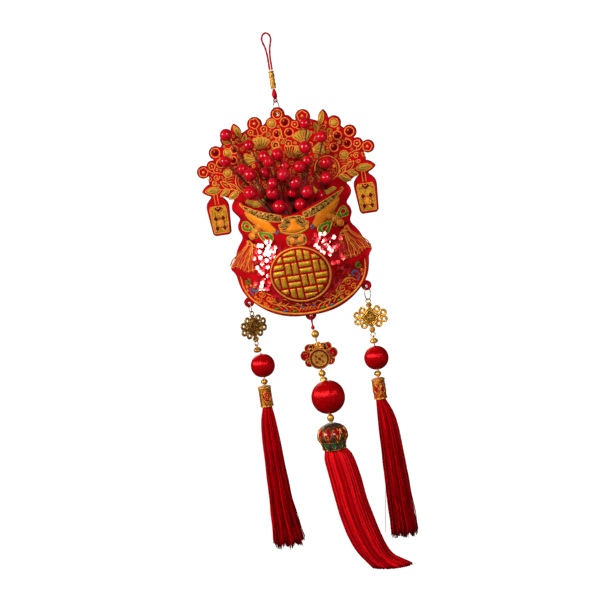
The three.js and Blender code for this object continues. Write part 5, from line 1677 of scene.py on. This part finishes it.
for k, (u, v, radius) in enumerate(coin_lobes):
    for way in (1, -1):
        add_rings(charm, way * u, v, radius - 0.35, 0.32, 1.05 + 0.06 * k, 0)
        curl = spiral(way * u, v, radius - 2.2, 0.8, 0.5 + k, way)
        for face in (-1, 1):
            charm.add_grid(tube(on_face(curl, face * 1.12), 0.24, 6), 0)
add_rings(charm, 0, 0, 9.0, 0.55, 1.45, 0)
add_rings(charm, 0, 0, 6.6, 0.35, 1.5, 0)
block_faces = [[0, 1, 2, 3], [7, 6, 5, 4]]
block_faces += [[n, (n + 1) % 4, (n + 1) % 4 + 4, n + 4] for n in range(4)]
for face in (-1, 1):
    for radius, depth, finish in ((8.6, 1.58, 2), (6.9, 1.64, 0)):
        ring = [(radius, face * (depth - 0.2)), (radius, face * depth), (0.05, face * depth)]
        charm.add_grid(turned(ring, sides=56)[:, :, [0, 2, 1]], finish)
    for k in range(4):
        turn = k * math.pi / 2 + math.pi / 4
        spot = np.array((3.9 * math.cos(turn), 3.9 * math.sin(turn)))
        corners = [(1.15, 0), (0, 1.5), (-1.15, 0), (0, -1.5)]
        points = [(spot[0] + u, face * 1.8, spot[1] + v) for u, v in corners]
        points += [(x, face * 1.5, z) for x, y, z in points]
        charm.add(points, block_faces, 1)
    for turn in range(4):
        start, end = [(1.5, 1.5), (-1.5, 1.5), (-1.5, -1.5), (1.5, -1.5), (1.5, 1.5)][turn : turn + 2]
        bar = np.array([(start[0], face * 1.7, start[1]), (end[0], face * 1.7, end[1])])
        charm.add_grid(tube(np.linspace(bar[0], bar[1], 4), 0.32, 6), 0)
    centre = [(u, face * 1.7, v) for u, v in ((-1.2, -1.2), (1.2, -1.2), (1.2, 1.2), (-1.2, 1.2))]
    charm.add(centre + [(x, face * 1.5, z) for x, y, z in centre], block_faces, 2)
    crown_points = [(-2.8, 10.3), (-3, 13.1), (-1.6, 12.1), (0, 14.5), (1.6, 12.1), (3, 13.1), (2.8, 10.3)]
    crown_line = resample(crown_points + crown_points[:1], 0.5)
    charm.add_grid(tube(on_face(crown_line, face * 1.35), 0.34, 6), 0)
charm.points = [points + (coin_x, 0, coin_z) for points in charm.points]
make("middle_charm_enamel", charm, [bright_gold, enamel, dark_enamel], ["middle_charm"], 45)

# The largest ball is wound like the side ones, under a gold neck, and its thread runs on through a tall
# ribbed bead into the cap.
cone = Heap()
cone_side = smooth([(3.5, -311.4), (3.55, -311), (3.05, -309.8), (2.5, -309.2), (2.2, -308.8)], 0.2)
cone.add_grid(turned(cone_side, 5.6, 40))
make("middle_cone_cast", cone, [bright_gold], ["middle_cone"])
ball = Heap()
wound_ball(ball, 7.2, -327.5, 15.3, 15.2, -311.8, -343.3, 150)
make("middle_ball_wound", ball, [ball_silk, cord_silk], ["middle_ball"])

# The middle cap is cast in filigree and antiqued: a domed crown of red enamelled petals over a narrower
# lower crown in green, with beaded edges.
crown_side = [(0.6, -351.8), (4, -352), (9, -354.4), (12.6, -357.8), (14, -362), (13.8, -366)]
cap = Heap()
outer = smooth(crown_side + [(11.8, -369.4), (10.8, -375.2)], 0.4)
lining = np.array([(10.1, -375.2), (9.9, -366), (9.85, -360)])
cap_grid = turned(np.concatenate([outer * (0.985, 1), lining]), 6, 96)
cap.add_grid(cap_grid, 0)
outer_radius = np.array(sorted(outer.tolist(), key=lambda point: point[1]))


def crown_radius(z):
    return np.interp(z, outer_radius[:, 1], outer_radius[:, 0]) * 0.985


on_crown = round_place(6, crown_radius, 0.12)
widest = float(outer_radius[:, 0].max() * 0.985)
petal_step = 2 * math.pi * widest / 10
pewter = metal("pewter", colour(0.17, 0.12, 0.085), colour(0.035, 0.02, 0.015), 0.4, 0.5, 0.06)
green_enamel = glaze("green_enamel", colour(0.004, 0.05, 0.02), colour(0.02, 0.16, 0.06), 0.22, 0.6, 0.08)
for k in range(10):
    across = (k - 4.5) * petal_step
    petal_line = petal((across, -367), (across, -354.2), 4.6, 0.6)
    add_patch(cap, petal_line, 0.16, on_crown, 1, 1.6, 0.6)
    add_line(cap, petal_line, 0.55, 0.45, on_crown, closed=True, finish=3)
    add_patch(cap, petal((across, -364.6), (across, -360.4), 0.9, 0.4), 0.4, on_crown, 3, 1.0, 0.4)
    for way in (1, -1):
        curl = spiral(across + way * 2.9, -356.6, 1.1, 1.2, 1.5, way)
        add_line(cap, curl, 0.42, 0.5, on_crown, finish=3)
    low_line = petal((across + petal_step / 2, -374.4), (across + petal_step / 2, -367.6), 3.4, 0.5)
    add_patch(cap, low_line, 0.14, on_crown, 2, 1.4, 0.5)
    add_line(cap, low_line, 0.5, 0.36, on_crown, closed=True, finish=3)
for height, beads in ((-367.6, 44), (-374.9, 40)):
    radius = float(crown_radius(np.array([height]))[0])
    for k in range(beads):
        turn = k * 2 * math.pi / beads
        add_ball(cap, (6 + radius * math.sin(turn), -radius * math.cos(turn), height), 0.62, 3, 6)
filigree_finishes = [pewter, enamel, green_enamel, antique_gold]
make("middle_cap_filigree", cap, filigree_finishes, ["middle_cap"], 50)

# The middle tassel is the fullest. It sweeps to the right, and its threads end level and slanting.
sweep = [
    (-2.2, -376, 14.4, -376, 8.2), (-3.6, -379, 18.4, -378.4, 9.4), (-4.6, -386, 22.2, -386, 11),
    (-2.4, -405, 25.8, -404, 11), (0.6, -432, 29.4, -430, 10), (6, -459, 35.8, -457, 8.5),
    (13.6, -477, 43.6, -479, 7), (25, -492, 62, -492.4, 6),
]


def middle_route(a, b, chance):
    share = (a + 1) / 2
    short = chance.uniform(0, 0.2) ** 2
    stops = []
    for k, (left_x, left_z, right_x, right_z, deep) in enumerate(sweep):
        last = k == len(sweep) - 1
        clump = 0.5 * math.sin(11 * a + 15 * b) * k / 7
        x = left_x + (right_x - left_x) * share + clump
        z = left_z + (right_z - left_z) * share + (b * 1.2 if last else 0)
        stops.append(np.array((x, b * deep, z)))
    stops[-1] = stops[-1] * (1 - short) + stops[-2] * short
    return stops


tassel = Heap()
tassel.add_grid(turned([(8.4, -371), (9.1, -370.4), (9.1, -361)], 6, 40))
fall_of_threads(tassel, 6, 8.6, -371.4, middle_route, 1100, 0.42, 29, 28)
make("middle_tassel_threads", tassel, [middle_silk, middle_painted_shade], ["middle_tassel"])

# Stage: a white tent all round, which only the camera sees, and warm studio lamps in front and behind.
plain = Finish("stage_plain", {"Base Color": colour(0.8, 0.8, 0.8), "Roughness": 0.9})
plain.feed({"Emission Color": colour(1, 1, 1), "Emission Strength": 1.0})
tent = Heap()
polar = np.linspace(0.01, math.pi - 0.01, 24)
tent.add_grid(turned(np.stack([4000 * np.sin(polar), 4000 * np.cos(polar)], -1)))
stage_mesh = bpy.data.meshes.new("stage_tent")
stage_mesh.from_pydata((np.concatenate(tent.points) / 1000).tolist(), [], tent.faces)
stage_mesh.materials.append(plain.material)
stage_mesh.shade_smooth()
stage = bpy.data.objects.new("stage_tent", stage_mesh)
bpy.context.scene.collection.objects.link(stage)
stage.visible_diffuse = False
stage.visible_glossy = False


def add_light(name, power, size, place):
    lamp = bpy.data.lights.new(name, "AREA")
    lamp.energy = power
    lamp.size = size
    lamp.color = (1.0, 0.92, 0.8)
    holder = bpy.data.objects.new(name, lamp)
    holder.location = place
    holder.rotation_euler = (looked_at - Vector(place)).to_track_quat("-Z", "Y").to_euler()
    bpy.context.scene.collection.objects.link(holder)


add_light("key_light", 33, 0.5, (-1.25, -1.05, 0.52))
add_light("second_light", 15, 0.4, (0.56, -1.53, 0.52))
add_light("fill_light", 2.5, 1.2, (1.5, -0.9, -0.5))
add_light("back_light", 14, 1.2, (-0.7, 1.8, 0.2))
world = bpy.data.worlds.new("studio")
world.use_nodes = True
world.node_tree.nodes["Background"].inputs["Color"].default_value = colour(1, 1, 1)
world.node_tree.nodes["Background"].inputs["Strength"].default_value = 0.06
bpy.context.scene.world = world
bpy.context.scene.view_settings.view_transform = "Standard"
